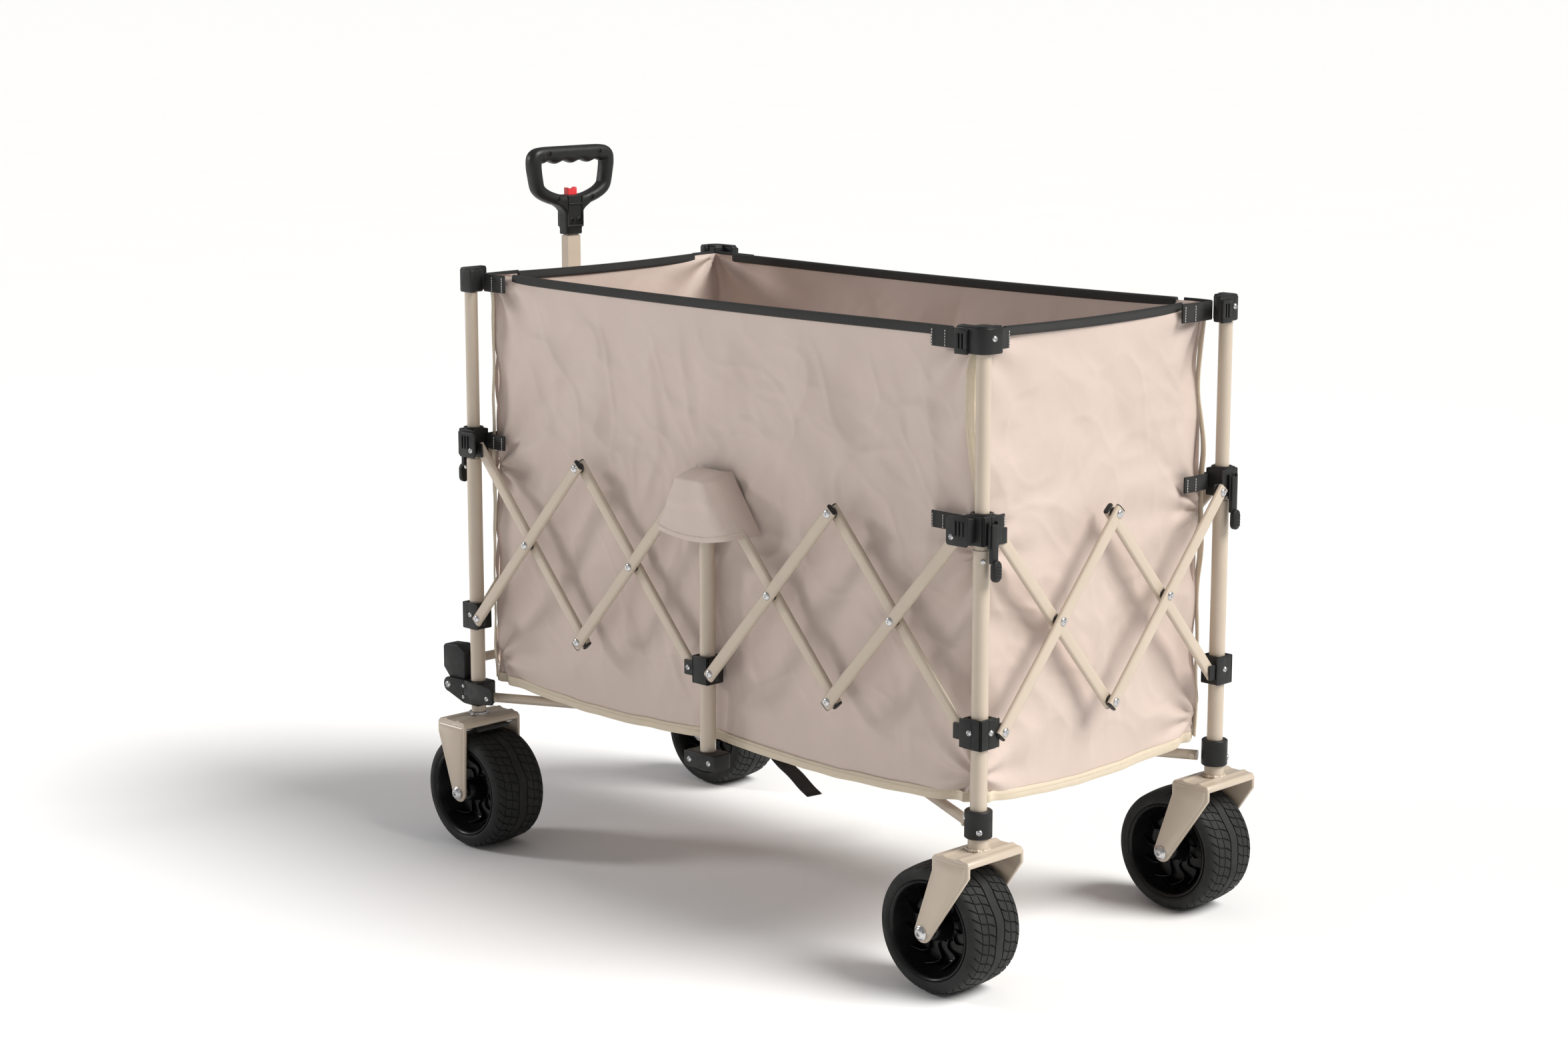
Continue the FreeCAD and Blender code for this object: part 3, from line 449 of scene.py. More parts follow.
def screw(origin, direction, material=None, radius=0.0042):
    """A pan head screw with a cross recess."""
    matrix = aim(origin, direction, 0.4)
    rings, spokes = 7, 32
    circle = [(math.cos(2 * math.pi * j / spokes), math.sin(2 * math.pi * j / spokes)) for j in range(spokes)]
    verts = [matrix @ Vector((0, 0, 0.3 * radius))]
    for i in range(1, rings + 1):
        r = radius * i / rings
        for c, s in circle:
            x, y = r * c, r * s
            height = 0.55 * radius * math.sqrt(max(0.0, 1 - (r / radius) ** 2.6))
            if min(abs(x), abs(y)) < 0.16 * radius and r < 0.62 * radius:
                height -= 0.3 * radius
            verts.append(matrix @ Vector((x, y, height)))
    verts += [matrix @ Vector((radius * c, radius * s, -0.5 * radius)) for c, s in circle]
    faces = [(0, 1 + j, 1 + (j + 1) % spokes) for j in range(spokes)]
    faces += [(a, d, c, b) for a, b, c, d in quads(rings + 1, spokes, 1)]
    faces.append([1 + rings * spokes + j for j in range(spokes)][::-1])
    return solid(verts, faces, material or ZINC)


def sweep(path, outline, side_of, material):
    """Carries an outline of (side, up) points along a path; side_of gives the side direction at a point."""
    sections = []
    for i, point in enumerate(path):
        side = side_of(i)
        ahead = (path[min(i + 1, len(path) - 1)] - path[max(i - 1, 0)]).normalized()
        lift = ahead.cross(side).normalized()
        sections.append([point + side * a + lift * b for a, b in outline])
    return loft(sections, material)


def place(piece, name, body, slot, *replaced):
    piece.name = name
    piece.data.name = name
    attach(piece, body)
    if replaced:
        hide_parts(*replaced)
    return piece


def softened(node, material, width):
    """A copy of a CAD node's shape with its edges rounded, as moulded or pressed parts have them."""
    mesh = NODES[node].data.copy()
    mesh.materials.clear()
    mesh.materials.append(material)
    piece = add_to_scene(node + "_shape", mesh)
    edit = bmesh.new()
    edit.from_mesh(mesh)
    bmesh.ops.remove_doubles(edit, verts=edit.verts, dist=2e-6)
    bmesh.ops.dissolve_limit(edit, angle_limit=math.radians(1.0), verts=edit.verts, edges=edit.edges)
    bmesh.ops.recalc_face_normals(edit, faces=edit.faces)
    edit.to_mesh(mesh)
    edit.free()
    for polygon in mesh.polygons:
        polygon.use_smooth = True
        polygon.material_index = 0
    return bevel(piece, width, 2, 42)


# ---------------------------------------------------------------- wheels

TYRE_RADIUS = 0.086
TYRE_HALF = 0.046
TREAD_EDGE = 0.035
TREAD_PITCHES = 40
GROOVE_DEPTH = 0.0019
SLANT_ROWS = (0.0088, 0.0415)
FIN_COUNT = 11

# Places round one pitch of the tread, each with the depth share of its slanting groove.
TREAD_COLUMNS = ((0.0, 0), (0.04, 1), (0.14, 1), (0.19, 0), (0.3, 0), (0.44, 0), (0.58, 0), (0.72, 0),
                 (0.86, 0))
# Places across the tread from its middle, each with the depth share of its ring groove.
TREAD_ROWS = ((0.0, 0), (0.0045, 0), (0.0068, 0), (0.0072, 1), (0.0086, 1), (0.009, 0), (0.0125, 0),
              (0.0165, 0), (0.0202, 0), (0.0205, 0.7), (0.0214, 0.7), (0.0217, 0), (0.0255, 0),
              (0.0292, 0), (0.0315, 0), (0.0318, 0.7), (0.0326, 0.7), (0.0329, 0), (TREAD_EDGE, 0))
BEAD_ROWS = [(0.0461, 0.0706, 0), (0.0457, 0.0692, 0), (0.0448, 0.0684, 0), (0.0446, 0.0676, 0),
             (0.0440, 0.0668, 0), (0.0420, 0.0662, 0)]
# The rim's outer side, from its bore over the web and the dish to the lip that holds the tyre.
RIM_SIDE = [(0.0064, 0.0405), (0.0115, 0.0405), (0.0135, 0.039), (0.0160, 0.030), (0.0185, 0.0125),
            (0.0225, 0.0088), (0.0450, 0.0088), (0.0475, 0.0100), (0.0495, 0.0135), (0.0590, 0.0360),
            (0.0609, 0.0415), (0.0620, 0.0437), (0.0638, 0.0449), (0.0655, 0.0444), (0.0661, 0.0432),
            (0.0661, 0.0400)]


def tyre_profile():
    """(across, radius, ring groove) from the middle of the tread to the bead, on one side."""
    rows = [(y, TYRE_RADIUS - 0.0024 * (y / TREAD_EDGE) ** 2, ring) for y, ring in TREAD_ROWS]
    top = rows[-1][1]
    for step in range(1, 9):
        turn = math.pi / 2 * step / 8
        rows.append((TREAD_EDGE + 0.011 * math.sin(turn), top - 0.0125 * (1 - math.cos(turn)), 0))
    return rows + BEAD_ROWS


def tyre_point(across, radius, ring, turn, slot):
    """A point of the tread, with the turn sheared so that slanting grooves follow the columns."""
    share = across / TYRE_HALF
    slanted = turn + (2.5 * share + 0.3 * math.sin(2 * math.pi * share)) * 2 * math.pi / TREAD_PITCHES
    grooved = SLANT_ROWS[0] <= abs(across) <= SLANT_ROWS[1]
    near_rib = max(0.0, 1 - abs(across) / 0.016)
    across += 0.0022 * near_rib * math.sin(slanted * TREAD_PITCHES / 4)
    r = radius - max(ring, slot if grooved else 0) * GROOVE_DEPTH
    return Vector((r * math.cos(slanted), r * math.sin(slanted), across))


def tyre():
    half = tyre_profile()
    rows = [(-y, r, ring) for y, r, ring in reversed(half[1:])] + half
    turns = [((pitch + place) * 2 * math.pi / TREAD_PITCHES, slot)
             for pitch in range(TREAD_PITCHES) for place, slot in TREAD_COLUMNS]
    verts = [tyre_point(*row, *turn) for row in rows for turn in turns]
    return solid(verts, quads(len(rows), len(turns)), RUBBER)


def rim_fin(start, side):
    """One S-shaped spoke that stands on the rim's web."""
    steps, inner, outer, half = 16, 0.017, 0.0530, 0.0009
    path = []
    for i in range(steps + 1):
        share = i / steps
        turn = start + 0.3 * share + 0.24 * math.sin(2 * math.pi * share)
        path.append(Vector((math.cos(turn), math.sin(turn), 0)) * (inner + (outer - inner) * share))
    foot = UP * 0.008 * side
    verts = []
    for i, point in enumerate(path):
        ahead = path[min(i + 1, steps)] - path[max(i - 1, 0)]
        across = Vector((-ahead.y, ahead.x, 0)).normalized() * half
        crest = UP * (0.0125 + 0.016 * (i / steps) ** 4) * side
        verts += [point - across + foot, point + across + foot, point + across * 0.6 + crest,
                  point - across * 0.6 + crest]
    end = 4 * steps
    faces = quads(steps + 1, 4) + [(0, 1, 2, 3), (end + 3, end + 2, end + 1, end)]
    return solid(verts, faces, RIM)


def make_wheels():
    profile = RIM_SIDE + [(r, -z) for r, z in reversed(RIM_SIDE)]
    fins = [rim_fin(2 * math.pi * k / FIN_COUNT, side) for side in (1, -1) for k in range(FIN_COUNT)]
    model = join([tyre(), lathe(profile, RIM, Matrix.Identity(4), 96)] + fins)
    for i, name in enumerate(CORNERS):
        low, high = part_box(f"wheel_{name}")
        piece = add_to_scene("wheel", model.data.copy())
        spin = Matrix.Rotation(0.4 + 1.3 * i, 4, "Y") @ Matrix.Rotation(math.pi / 2, 4, "X")
        piece.data.transform(Matrix.Translation((low + high) / 2) @ spin)
        place(piece, f"wheel_{name}_looks", f"wheel_{name}", "tyre_rubber", f"wheel_{name}")
    bpy.data.objects.remove(model)


# ---------------------------------------------------------------- forks

LEG_INNER, LEG_OUTER = 0.0485, 0.0540
CROWN_HALF = 0.031
CROWN_LOW, CROWN_TOP = 0.1885, 0.195
SHOULDER = CROWN_TOP - 0.022
END_RADIUS = 0.014

AXLE_BOLT = [(0.0098, 0.0), (0.0098, 0.0012), (0.0086, 0.0018), (0.0078, 0.0032), (0.0058, 0.0043),
             (0.0034, 0.0047), (0.0032, 0.0030), (0.0, 0.0028)]
SWIVEL_WASHERS = [(0.0, 0.1955), (0.0150, 0.1955), (0.0150, 0.1972), (0.0135, 0.1976), (0.0135, 0.1984),
                  (0.0147, 0.1988), (0.0147, 0.1995), (0.0, 0.1995)]
FORK_STUB = [(0.0112, 0.2108), (0.0132, 0.2108), (0.0134, 0.2100), (0.0134, 0.1945), (0.0112, 0.1945)]


def leg_outline(axle_x, axle_z, inset=0.0):
    """A leg's outline about the post axis: wide at the crown, with a tangent round end at the axle."""
    axle = Vector((axle_x, axle_z))
    radius = END_RADIUS - inset
    side = CROWN_HALF - inset
    angles = []
    for x, hand in ((-side, -1), (side, 1)):
        line = Vector((x, SHOULDER)) - axle
        angles.append(math.degrees(math.atan2(line.y, line.x) - hand * math.acos(radius / line.length)))
    first, last = angles
    if first < last:
        first += 360
    around = arc_points(axle, radius, first, last + 360 if last + 360 - first < 300 else last, 14)
    top = CROWN_TOP - 0.004 - inset
    return [(side, top), (-side, top), (-side, SHOULDER)] + around + [(side, SHOULDER)]


def crown(matrix):
    """A pressed bar over the wheel, with two ribs along it and turned-down edges."""
    half, steps, top = CROWN_HALF, 36, []
    for i in range(steps + 1):
        x = -half + 2 * half * i / steps
        rib = sum(math.exp(-((x - c) / 0.0045) ** 2) for c in (-0.014, 0.014))
        edge = max(0.0, abs(x) - (half - 0.006)) / 0.006
        top.append((x, CROWN_TOP - 0.001 + 0.0022 * rib - 0.006 * (1 - math.sqrt(max(0.0, 1 - edge ** 2)))))
    foot = CROWN_LOW - 0.004
    outline = top + [(half, foot), (half - 0.005, foot), (half - 0.009, CROWN_LOW),
                     (0.009 - half, CROWN_LOW), (0.005 - half, foot), (-half, foot)]
    return prism(outline, (0.0009 - LEG_OUTER, LEG_OUTER - 0.0009), PAINT, matrix, 0.0020)


def weld_bead(centre, radius, height):
    """A ring of overlapping weld blobs round a tube."""
    count, around = 72, 10
    verts = []
    for i in range(count):
        turn = 2 * math.pi * i / count
        size = 0.0021 * (1 + 0.28 * math.sin(9 * turn) + 0.16 * math.sin(23 * turn))
        for j in range(around):
            a = 2 * math.pi * j / around
            r = radius + size * math.cos(a)
            verts.append(centre + Vector((r * math.cos(turn), r * math.sin(turn),
                                          height + size * math.sin(a))))
    return solid(verts, quads(count, around, wrapped=True), PAINT)


def brake(centre, hand):
    """The brake pedal and its rod, under the crown of a front fork."""
    low = centre + Vector((-0.026 * hand, 0, 0.1765))
    pedal = block(low + Vector((-0.009, -0.030, 0)), low + Vector((0.009, 0.030, 0.0065)), 0.002)
    circle = [(0.003 * math.cos(a * math.pi / 6), 0.003 * math.sin(a * math.pi / 6)) for a in range(12)]
    path = [low + Vector((0.006, y, 0.004)) for y in (-0.045, 0, 0.045)]
    return [pedal, sweep(path, circle, lambda i: Vector((1, 0, 0)), ZINC)]


def make_forks():
    for name, centre in CORNERS.items():
        wheel_low, wheel_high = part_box(f"wheel_{name}")
        axle = (wheel_low + wheel_high) / 2
        matrix = frame_matrix(centre, Vector((1, 0, 0)), UP)
        outline, foot, crest = (leg_outline(axle.x - centre.x, axle.z, inset)
                                for inset in (0.0, 0.0044, 0.0076))
        levels = ((foot, LEG_OUTER - 0.001), (foot, LEG_OUTER + 0.0002), (crest, LEG_OUTER + 0.0025))
        parts = [crown(matrix)]
        for side in (1, -1):
            inner, outer = sorted((LEG_INNER * side, LEG_OUTER * side))
            parts.append(prism(outline, (-outer, -inner), PAINT, matrix, 0.0024, 4))
            pressing = [[matrix @ Vector((x, z, -y * side)) for x, z in ring] for ring, y in levels]
            parts.append(loft(pressing, PAINT))
            head = axle + Vector((0, (LEG_OUTER + 0.0022) * side, 0))
            parts.append(lathe(AXLE_BOLT, ZINC, aim(head, (0, side, 0)), 32))
        parts.append(lathe(rod(0.006, -LEG_OUTER, LEG_OUTER), ZINC, aim(axle, (0, 1, 0)), 24))
        if name.startswith("front"):
            parts.append(lathe(SWIVEL_WASHERS, ZINC, Matrix.Translation(centre)))
            parts += brake(centre, 1 if axle.x < centre.x else -1)
        else:
            parts.append(lathe(FORK_STUB, PAINT, Matrix.Translation(centre), 48))
            parts.append(weld_bead(centre, 0.0142, 0.1958))
        place(join(parts), f"fork_{name}_looks", BODY_OF[f"fork_{name}"], "beige_paint", f"fork_{name}")


# ---------------------------------------------------------------- scissor bars

END_REACH = 0.0072
PLUG_REACH = 0.0095
RIVET_RADIUS, RIVET_HEIGHT = 0.0058, 0.0024
RIVET = [(RIVET_RADIUS, -0.0004), (RIVET_RADIUS, 0.0005), (RIVET_RADIUS * 0.9, 0.0014),
         (RIVET_RADIUS * 0.66, 0.0021), (RIVET_RADIUS * 0.36, RIVET_HEIGHT), (0.0016, RIVET_HEIGHT),
         (0.0012, 0.0013), (0.0, 0.0013)]


def rivet(origin, direction):
    return lathe(RIVET, ZINC, aim(origin, direction), 24)


def bar_ends(side, kind, unit):
    """The two pivots of a bar, its lug end first, and the direction away from the bag."""
    low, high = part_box(f"{side}_{kind}_bar_{unit}")
    inset = BAR_WIDTH / 2
    sign = 1 if side in ("left", "front") else -1
    if side in ("left", "right"):
        outward = Vector((0, sign, 0))
        plane = sign * (POST_Y + LUG_PLANE)
        near, far = Vector((low.x + inset, plane, 0)), Vector((high.x - inset, plane, 0))
    else:
        outward = Vector((sign, 0, 0))
        plane = CORNERS[f"{side}_left"].x + sign * LUG_PLANE
        near, far = Vector((plane, high.y - inset, 0)), Vector((plane, low.y + inset, 0))
    near.z, far.z = (low.z + inset, high.z - inset) if kind == "rising" else (high.z - inset, low.z + inset)
    return (near, far, outward) if unit % 2 else (far, near, outward)


def scissor_bar(side, kind, unit, outer):
    lug, joint, outward = bar_ends(side, kind, unit)
    along = (joint - lug).normalized()
    offset = outward * (BAR_GAP_HALF + BAR_THICKNESS / 2) * (1 if outer else -1)
    ends = [lug - along * END_REACH + offset, joint + along * END_REACH + offset]
    half, round_end = BAR_WIDTH / 2 - BAR_THICKNESS / 2, BAR_THICKNESS / 2
    section = [(b, a) for a, b in stadium(half, round_end, 8)]
    parts = [sweep([ends[0], (ends[0] + ends[1]) / 2, ends[1]], section, lambda i: outward, PAINT)]
    cap = stadium(half - 0.0002, round_end - 0.0002, 8)
    reach = PLUG_REACH - END_REACH
    for end, depth in zip(ends, ((-0.003, reach), (-reach, 0.003))):
        parts.append(prism(cap, depth, PLASTIC, frame_matrix(end, along.cross(outward), outward), 0.0012))
    face = outward * (BAR_GAP_HALF + BAR_THICKNESS)
    if outer:
        for point in ((lug + joint) / 2, joint):
            parts += [rivet(point + face, outward), rivet(point - face, -outward)]
            parts.append(lathe(rod(0.0073, -BAR_GAP_HALF, BAR_GAP_HALF), PLASTIC, aim(point, outward), 24))
        parts.append(rivet(lug + face, outward))
    else:
        parts += [rivet(lug - face, -outward), rivet(lug - outward * BAR_GAP_HALF, outward)]
    name = f"{side}_{kind}_bar_{unit}"
    place(join(parts), f"{name}_looks", name, "beige_paint", name)


def make_bars():
    for side, units in (("left", 4), ("right", 4), ("rear", 2), ("front", 2)):
        for unit in range(1, units + 1):
            for kind in ("rising", "falling"):
                scissor_bar(side, kind, unit, (kind == "rising") == (side in ("rear", "front")))


# ---------------------------------------------------------------- brackets

FOOT_RING = [(0.0112, 0.0), (0.0168, 0.0), (0.0180, 0.0012), (0.0180, 0.0348), (0.0168, 0.036),
             (0.0112, 0.036)]
LATCH_PIN = [(0.0, 0.0), (0.0032, 0.0), (0.0032, 0.0022), (0.0022, 0.0034), (0.0, 0.0036)]


class Post:
    """Coordinates about a post: u runs inward along the cart, v inward across it."""

    def __init__(self, centre, side_x, side_y):
        self.centre = centre
        self.side_x, self.side_y = side_x, side_y
        # 1 where u, v and up make a right-handed frame, -1 where they make a left-handed one.
        self.hand = side_x * side_y

    def point(self, u, v, z):
        return Vector((self.centre.x - u * self.side_x, self.centre.y - v * self.side_y, z))

    def toward(self, u, v):
        return Vector((-u * self.side_x, -v * self.side_y, 0))

    def block(self, u, v, z, rounding=0.001):
        corners = self.point(u[0], v[0], z[0]), self.point(u[1], v[1], z[1])
        return block([min(pair) for pair in zip(*corners)], [max(pair) for pair in zip(*corners)], rounding)

    def arm_block(self, along_x, along, across, z, rounding):
        """A block beside one of the two walls that meet at the post."""
        u, v = (along, across) if along_x else (across, along)
        return self.block(u, v, z, rounding)

    def arm_point(self, along_x, along, across, z):
        return self.point(along, across, z) if along_x else self.point(across, along, z)

    def outward(self, along_x):
        return self.toward(0, -1) if along_x else self.toward(-1, 0)

    def panel(self, outline, v, rounding, segments):
        """A plastic outline of (u, z) points, raised between two places across the cart."""
        matrix = frame_matrix(self.centre, self.toward(1, 0), UP)
        return prism(outline, sorted(-self.hand * value for value in v), PLASTIC, matrix, rounding, segments)


def corner_post(name):
    return Post(CORNERS[name], 1 if name.startswith("front") else -1, 1 if name.endswith("left") else -1)


def top_bracket(post, low, high):
    """The cap of a post. One arm has a slotted clip for the bag's webbing, the other is short."""
    on_x = post.hand < 0
    arm_x, arm_y = (0.034, 0.0185) if on_x else (0.0185, 0.034)
    face = -SLEEVE_HALF
    outline = (arc_points((0, 0), SLEEVE_HALF, 180, 270, 10)
               + [(arm_x, face), (arm_x, -0.0035), (0.013, -0.0035), (0.013, 0.013),
                  (-0.0035, 0.013), (-0.0035, arm_y), (face, arm_y)])
    matrix = frame_matrix(post.centre, post.toward(1, 0), post.toward(0, 1))
    heights, lid_heights = (sorted((post.hand * a, post.hand * b))
                            for a, b in ((low, high), (high - 0.001, high + 0.0016)))
    lid = [(x * 0.94, y * 0.94) for x, y in outline]
    parts = [prism(outline, heights, PLASTIC, matrix, 0.0022),
             prism(lid, lid_heights, PLASTIC, matrix, 0.0012, 2)]
    start, end, foot, top = 0.0125, 0.0325, low - 0.001, high - 0.003
    width = end - start
    bars = ((start, start + width * 0.3), (start + width * 0.42, start + width * 0.58),
            (end - width * 0.3, end))
    for bar in bars:
        parts.append(post.arm_block(on_x, bar, (face - 0.0035, face + 0.001),
                                    (foot + 0.007, top - 0.005), 0.0006))
    for z in ((foot, foot + 0.0075), (top - 0.0055, top)):
        parts.append(post.arm_block(on_x, (start, end), (face - 0.0038, face + 0.001), z, 0.0008))
    parts.append(screw(post.point(face, 0.002, (low + high) / 2 + 0.003), post.toward(-1, 0)))
    return parts


def foot_bracket(post, low, high):
    """The collar over a rear fork, or the block and latch housing over a front one."""
    if post.side_x < 0:
        ring = [(r, low + z) for r, z in FOOT_RING]
        return [lathe(ring, PLASTIC, Matrix.Translation(post.centre), 56),
                screw(post.point(-0.0125, -0.0125, low + 0.010), post.toward(-1, -1)),
                screw(post.point(0.0125, -0.0125, low + 0.026), post.toward(1, -1))]
    cheek = arc_points((-0.049, high - 0.012), 0.0115, 90, 270, 8) + [(-0.014, low + 0.001), (-0.014, high)]
    housing = [(-0.020, high - 0.006), (-0.046, high - 0.008), (-0.066, high + 0.012), (-0.066, high + 0.044),
               (-0.062, high + 0.048), (-0.034, high + 0.050), (-0.0165, high + 0.042),
               (-0.0165, high + 0.004)]
    strap = [(-0.004, low + 0.001), (0.050, low + 0.008), (0.052, low + 0.012), (0.052, high - 0.006),
             (0.048, high - 0.003), (-0.004, high - 0.0005)]
    parts = [post.block((-0.0165, 0.0185), (-0.0175, 0.0185), (low, high), 0.003),
             post.panel(cheek, (-0.0179, -0.0125), 0.001, 2), post.panel(cheek, (0.0125, 0.0172), 0.001, 2),
             post.panel(housing, (-0.013, 0.013), 0.002, 3), post.panel(strap, (-0.0182, -0.0135), 0.001, 2)]
    screws = ((-0.049, high - 0.012, 0.0056), (-0.014, low + 0.010, 0.003), (-0.014, low + 0.027, 0.003),
              (0.040, low + 0.016, 0.0042))
    for u, z, radius in screws:
        parts.append(screw(post.point(u, -0.0180, z), post.toward(0, -1), radius=radius))
    stub = aim(post.point(-0.033, 0, high + 0.024), post.toward(0, 1))
    return parts + [lathe(rod(0.0070, 0.008, 0.062), PAINT, stub, 32)]


def sleeve(post, low, high):
    """Four walls round a post."""
    gap = POST_RADIUS + 0.0003
    near, far, full = (-SLEEVE_HALF, -gap), (gap, SLEEVE_HALF), (-SLEEVE_HALF, SLEEVE_HALF)
    spans = (near, full), (far, full), (full, near), (full, far)
    return [post.block(u, v, (low, high), 0.0016) for u, v in spans]


def lug_bracket(post, pivot, low, high):
    """A sleeve round the post with a lug along each side, for the ends of the scissor bars."""
    parts = sleeve(post, low, high)
    for along_x in (True, False):
        parts.append(post.arm_block(along_x, (0.006, 0.0335), (-LUG_PLANE - 0.0015, -LUG_PLANE + 0.0015),
                                    (pivot - 0.0105, pivot + 0.0105), 0.0014))
        parts.append(post.arm_block(along_x, (0.0, 0.0205), (-0.0162, -0.0138),
                                    (low + 0.001, high - 0.001), 0.0011))
    return parts


def make_fittings():
    for name in CORNERS:
        post = corner_post(name)
        node = f"corner_fittings_{name}"
        low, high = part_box(node)
        parts = top_bracket(post, high.z - 0.035, high.z - 0.0016)
        parts += lug_bracket(post, LOWER_PIVOT, LOWER_PIVOT - 0.020, LOWER_PIVOT + 0.020)
        parts += [screw(post.arm_point(along_x, 0.0035, -0.0163, LOWER_PIVOT + 0.002), post.outward(along_x))
                  for along_x in (True, False)]
        parts += foot_bracket(post, low.z, low.z + 0.036)
        place(join(parts), f"{node}_looks", BODY_OF[node], "black_plastic", node)


def lever(post, low):
    """The release lever of a sliding bracket: an arm in a frame, with a ribbed thumb tip."""
    tip_low = low - 0.044
    out = -0.0165
    parts = [post.block((out - 0.0065, out), (-0.0060, 0.0060), (tip_low + 0.022, low + 0.028), 0.0014)]
    parts += [post.block((out - 0.0040, out), v, (low - 0.003, low + 0.031), 0.0010)
              for v in ((-0.0090, -0.0062), (0.0062, 0.0090))]
    matrix = frame_matrix(post.point(out - 0.0075, 0, tip_low + 0.013), post.toward(0, 1), UP)
    thumb = [(z, x) for x, z in stadium(0.006, 0.0078, 10)]
    parts.append(prism(thumb, (-0.0035, 0.0035), PLASTIC, matrix, 0.0016))
    for i in range(4):
        z = tip_low + 0.004 + 0.0042 * i
        parts.append(post.block((out - 0.0122, out - 0.0100), (-0.0062, 0.0062), (z, z + 0.0018), 0.0007))
    pin = aim(post.point(-POST_RADIUS * 0.75, -POST_RADIUS * 0.66, low - 0.020), post.toward(-1, -0.8))
    return parts + [lathe(LATCH_PIN, ZINC, pin, 20)]


def cover_plate(post, pivot):
    """The slotted plate in front of the outer bar's end, and the wall that carries it."""
    face = LUG_PLANE + BAR_GAP_HALF + BAR_THICKNESS + RIVET_HEIGHT + 0.0008
    outline = [(-0.0020, pivot - 0.006), (0.0020, pivot - 0.010), (0.0330, pivot - 0.010),
               (0.0355, pivot - 0.007), (0.0355, pivot + 0.022), (0.0320, pivot + 0.0275),
               (-0.0020, pivot + 0.0275)]
    parts = [post.panel(outline, (-face, -face - 0.0032), 0.0013, 3),
             post.block((-0.0020, 0.0105), (-face - 0.0010, -0.0145), (pivot - 0.004, pivot + 0.0265))]
    parts += [post.block((u, u + 0.0030), (-face - 0.0052, -face - 0.0030),
                         (pivot + 0.003, pivot + 0.022), 0.0008)
              for u in (0.0060, 0.0120, 0.0180)]
    return parts + [screw(post.point(0.0262, -face - 0.0031, pivot + 0.001), post.toward(0, -1))]


def make_sliders():
    low, high = UPPER_PIVOT - 0.009, UPPER_PIVOT + 0.029
    collar = [(0.0114, high - 0.001), (0.0150, high - 0.001), (0.0146, high + 0.0022),
              (0.0114, high + 0.0026)]
    for name in CORNERS:
        post = corner_post(name)
        node = f"slider_{name}"
        parts = lug_bracket(post, UPPER_PIVOT, low, high) + lever(post, low) + cover_plate(post, UPPER_PIVOT)
        parts.append(lathe(collar, PLASTIC, Matrix.Translation(post.centre)))
        place(join(parts), f"{node}_looks", BODY_OF[node], "black_plastic", node)


def middle_bracket(post, plane, pivot, half_height):
    """A sleeve with a lug on either side, on a middle post."""
    lug = post.block((-0.0335, 0.0335), (plane - 0.0015, plane + 0.0015),
                     (pivot - 0.0105, pivot + 0.0105), 0.0014)
    return sleeve(post, pivot - half_height, pivot + half_height) + [lug]


def make_middle():
    for side, sign in (("left", 1), ("right", -1)):
        node = f"middle_post_{side}"
        low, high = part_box(node)
        centre = Vector((MIDDLE_X, sign * POST_Y, 0))
        post = Post(centre, -1, -1)
        outward = Vector((0, sign, 0))
        tube = [(0.0, 0.212), (POST_RADIUS, 0.212), (POST_RADIUS, high.z - 0.001), (0.0, high.z)]
        parts = [lathe(tube, PAINT, Matrix.Translation(centre), 48)]
        parts += middle_bracket(post, sign * LUG_PLANE, UPPER_PIVOT, 0.015)
        foot, top, face = low.z, low.z + 0.024, sign * 0.0165
        parts.append(post.block((-0.028, 0.028), (-0.0165, 0.0165), (foot, top), 0.0028))
        parts.append(post.block((-0.030, 0.030), (face - 0.0012, face + 0.0012),
                                (foot + 0.002, top - 0.001), 0.0011))
        parts += [screw(post.point(x, face + sign * 0.0012, foot + 0.012), outward) for x in (-0.019, 0.019)]
        place(join(parts), f"{node}_looks", node, "beige_paint", node)
        node = f"middle_slider_{side}"
        parts = middle_bracket(post, sign * LUG_PLANE, LOWER_PIVOT, 0.0195)
        parts.append(screw(post.point(0.025, sign * (LUG_PLANE + 0.0016), LOWER_PIVOT), outward))
        place(join(parts), f"{node}_looks", node, "black_plastic", node)


# ---------------------------------------------------------------- handle

GRIP_HALF_THICKNESS = 0.0118
FINGER_PITCH = 0.0325

# The centreline of half the D, from the top's middle, as (across, height, half thickness).
GRIP_LINE = [(0.0, 1.0135, 0.0122), (0.030, 1.0135, 0.0122), (0.057, 1.0134, 0.0122),
             (0.0712, 1.0112, 0.0120), (0.0730, 0.9990, 0.0112), (0.0712, 0.9860, 0.0106),
             (0.0690, 0.9740, 0.0102), (0.0665, 0.9630, 0.0100), (0.0560, 0.9545, 0.0096),
             (0.0400, 0.9480, 0.0092), (0.0220, 0.9430, 0.0092), (0.0, 0.9425, 0.0094)]
# The neck's sections as (height, half width, half thickness).
GRIP_NECK = ((0.8920, 0.0148, 0.0095), (0.8930, 0.0160, 0.0106), (0.9010, 0.0160, 0.0106),
             (0.9022, 0.0168, 0.0113), (0.9220, 0.0170, 0.0114), (0.9270, 0.0188, 0.0116),
             (0.9320, 0.0235, 0.0117), (0.9370, 0.0315, 0.0117), (0.9420, 0.0390, 0.0115),
             (0.9470, 0.0420, 0.0106), (0.9505, 0.0400, 0.0085))
# The raised frame on each face of the neck, as (low and high across, low and high up).
NECK_FRAME = ((-0.0150, -0.0122, 0.906, 0.951), (0.0122, 0.0150, 0.906, 0.951),
              (-0.0150, 0.0150, 0.9035, 0.9065), (-0.0150, 0.0150, 0.9365, 0.9395))
SCREW_RING = [(0.0050, -0.0008), (0.0049, 0.0005), (0.0044, 0.0009), (0.0034, 0.0008), (0.0031, -0.0008)]


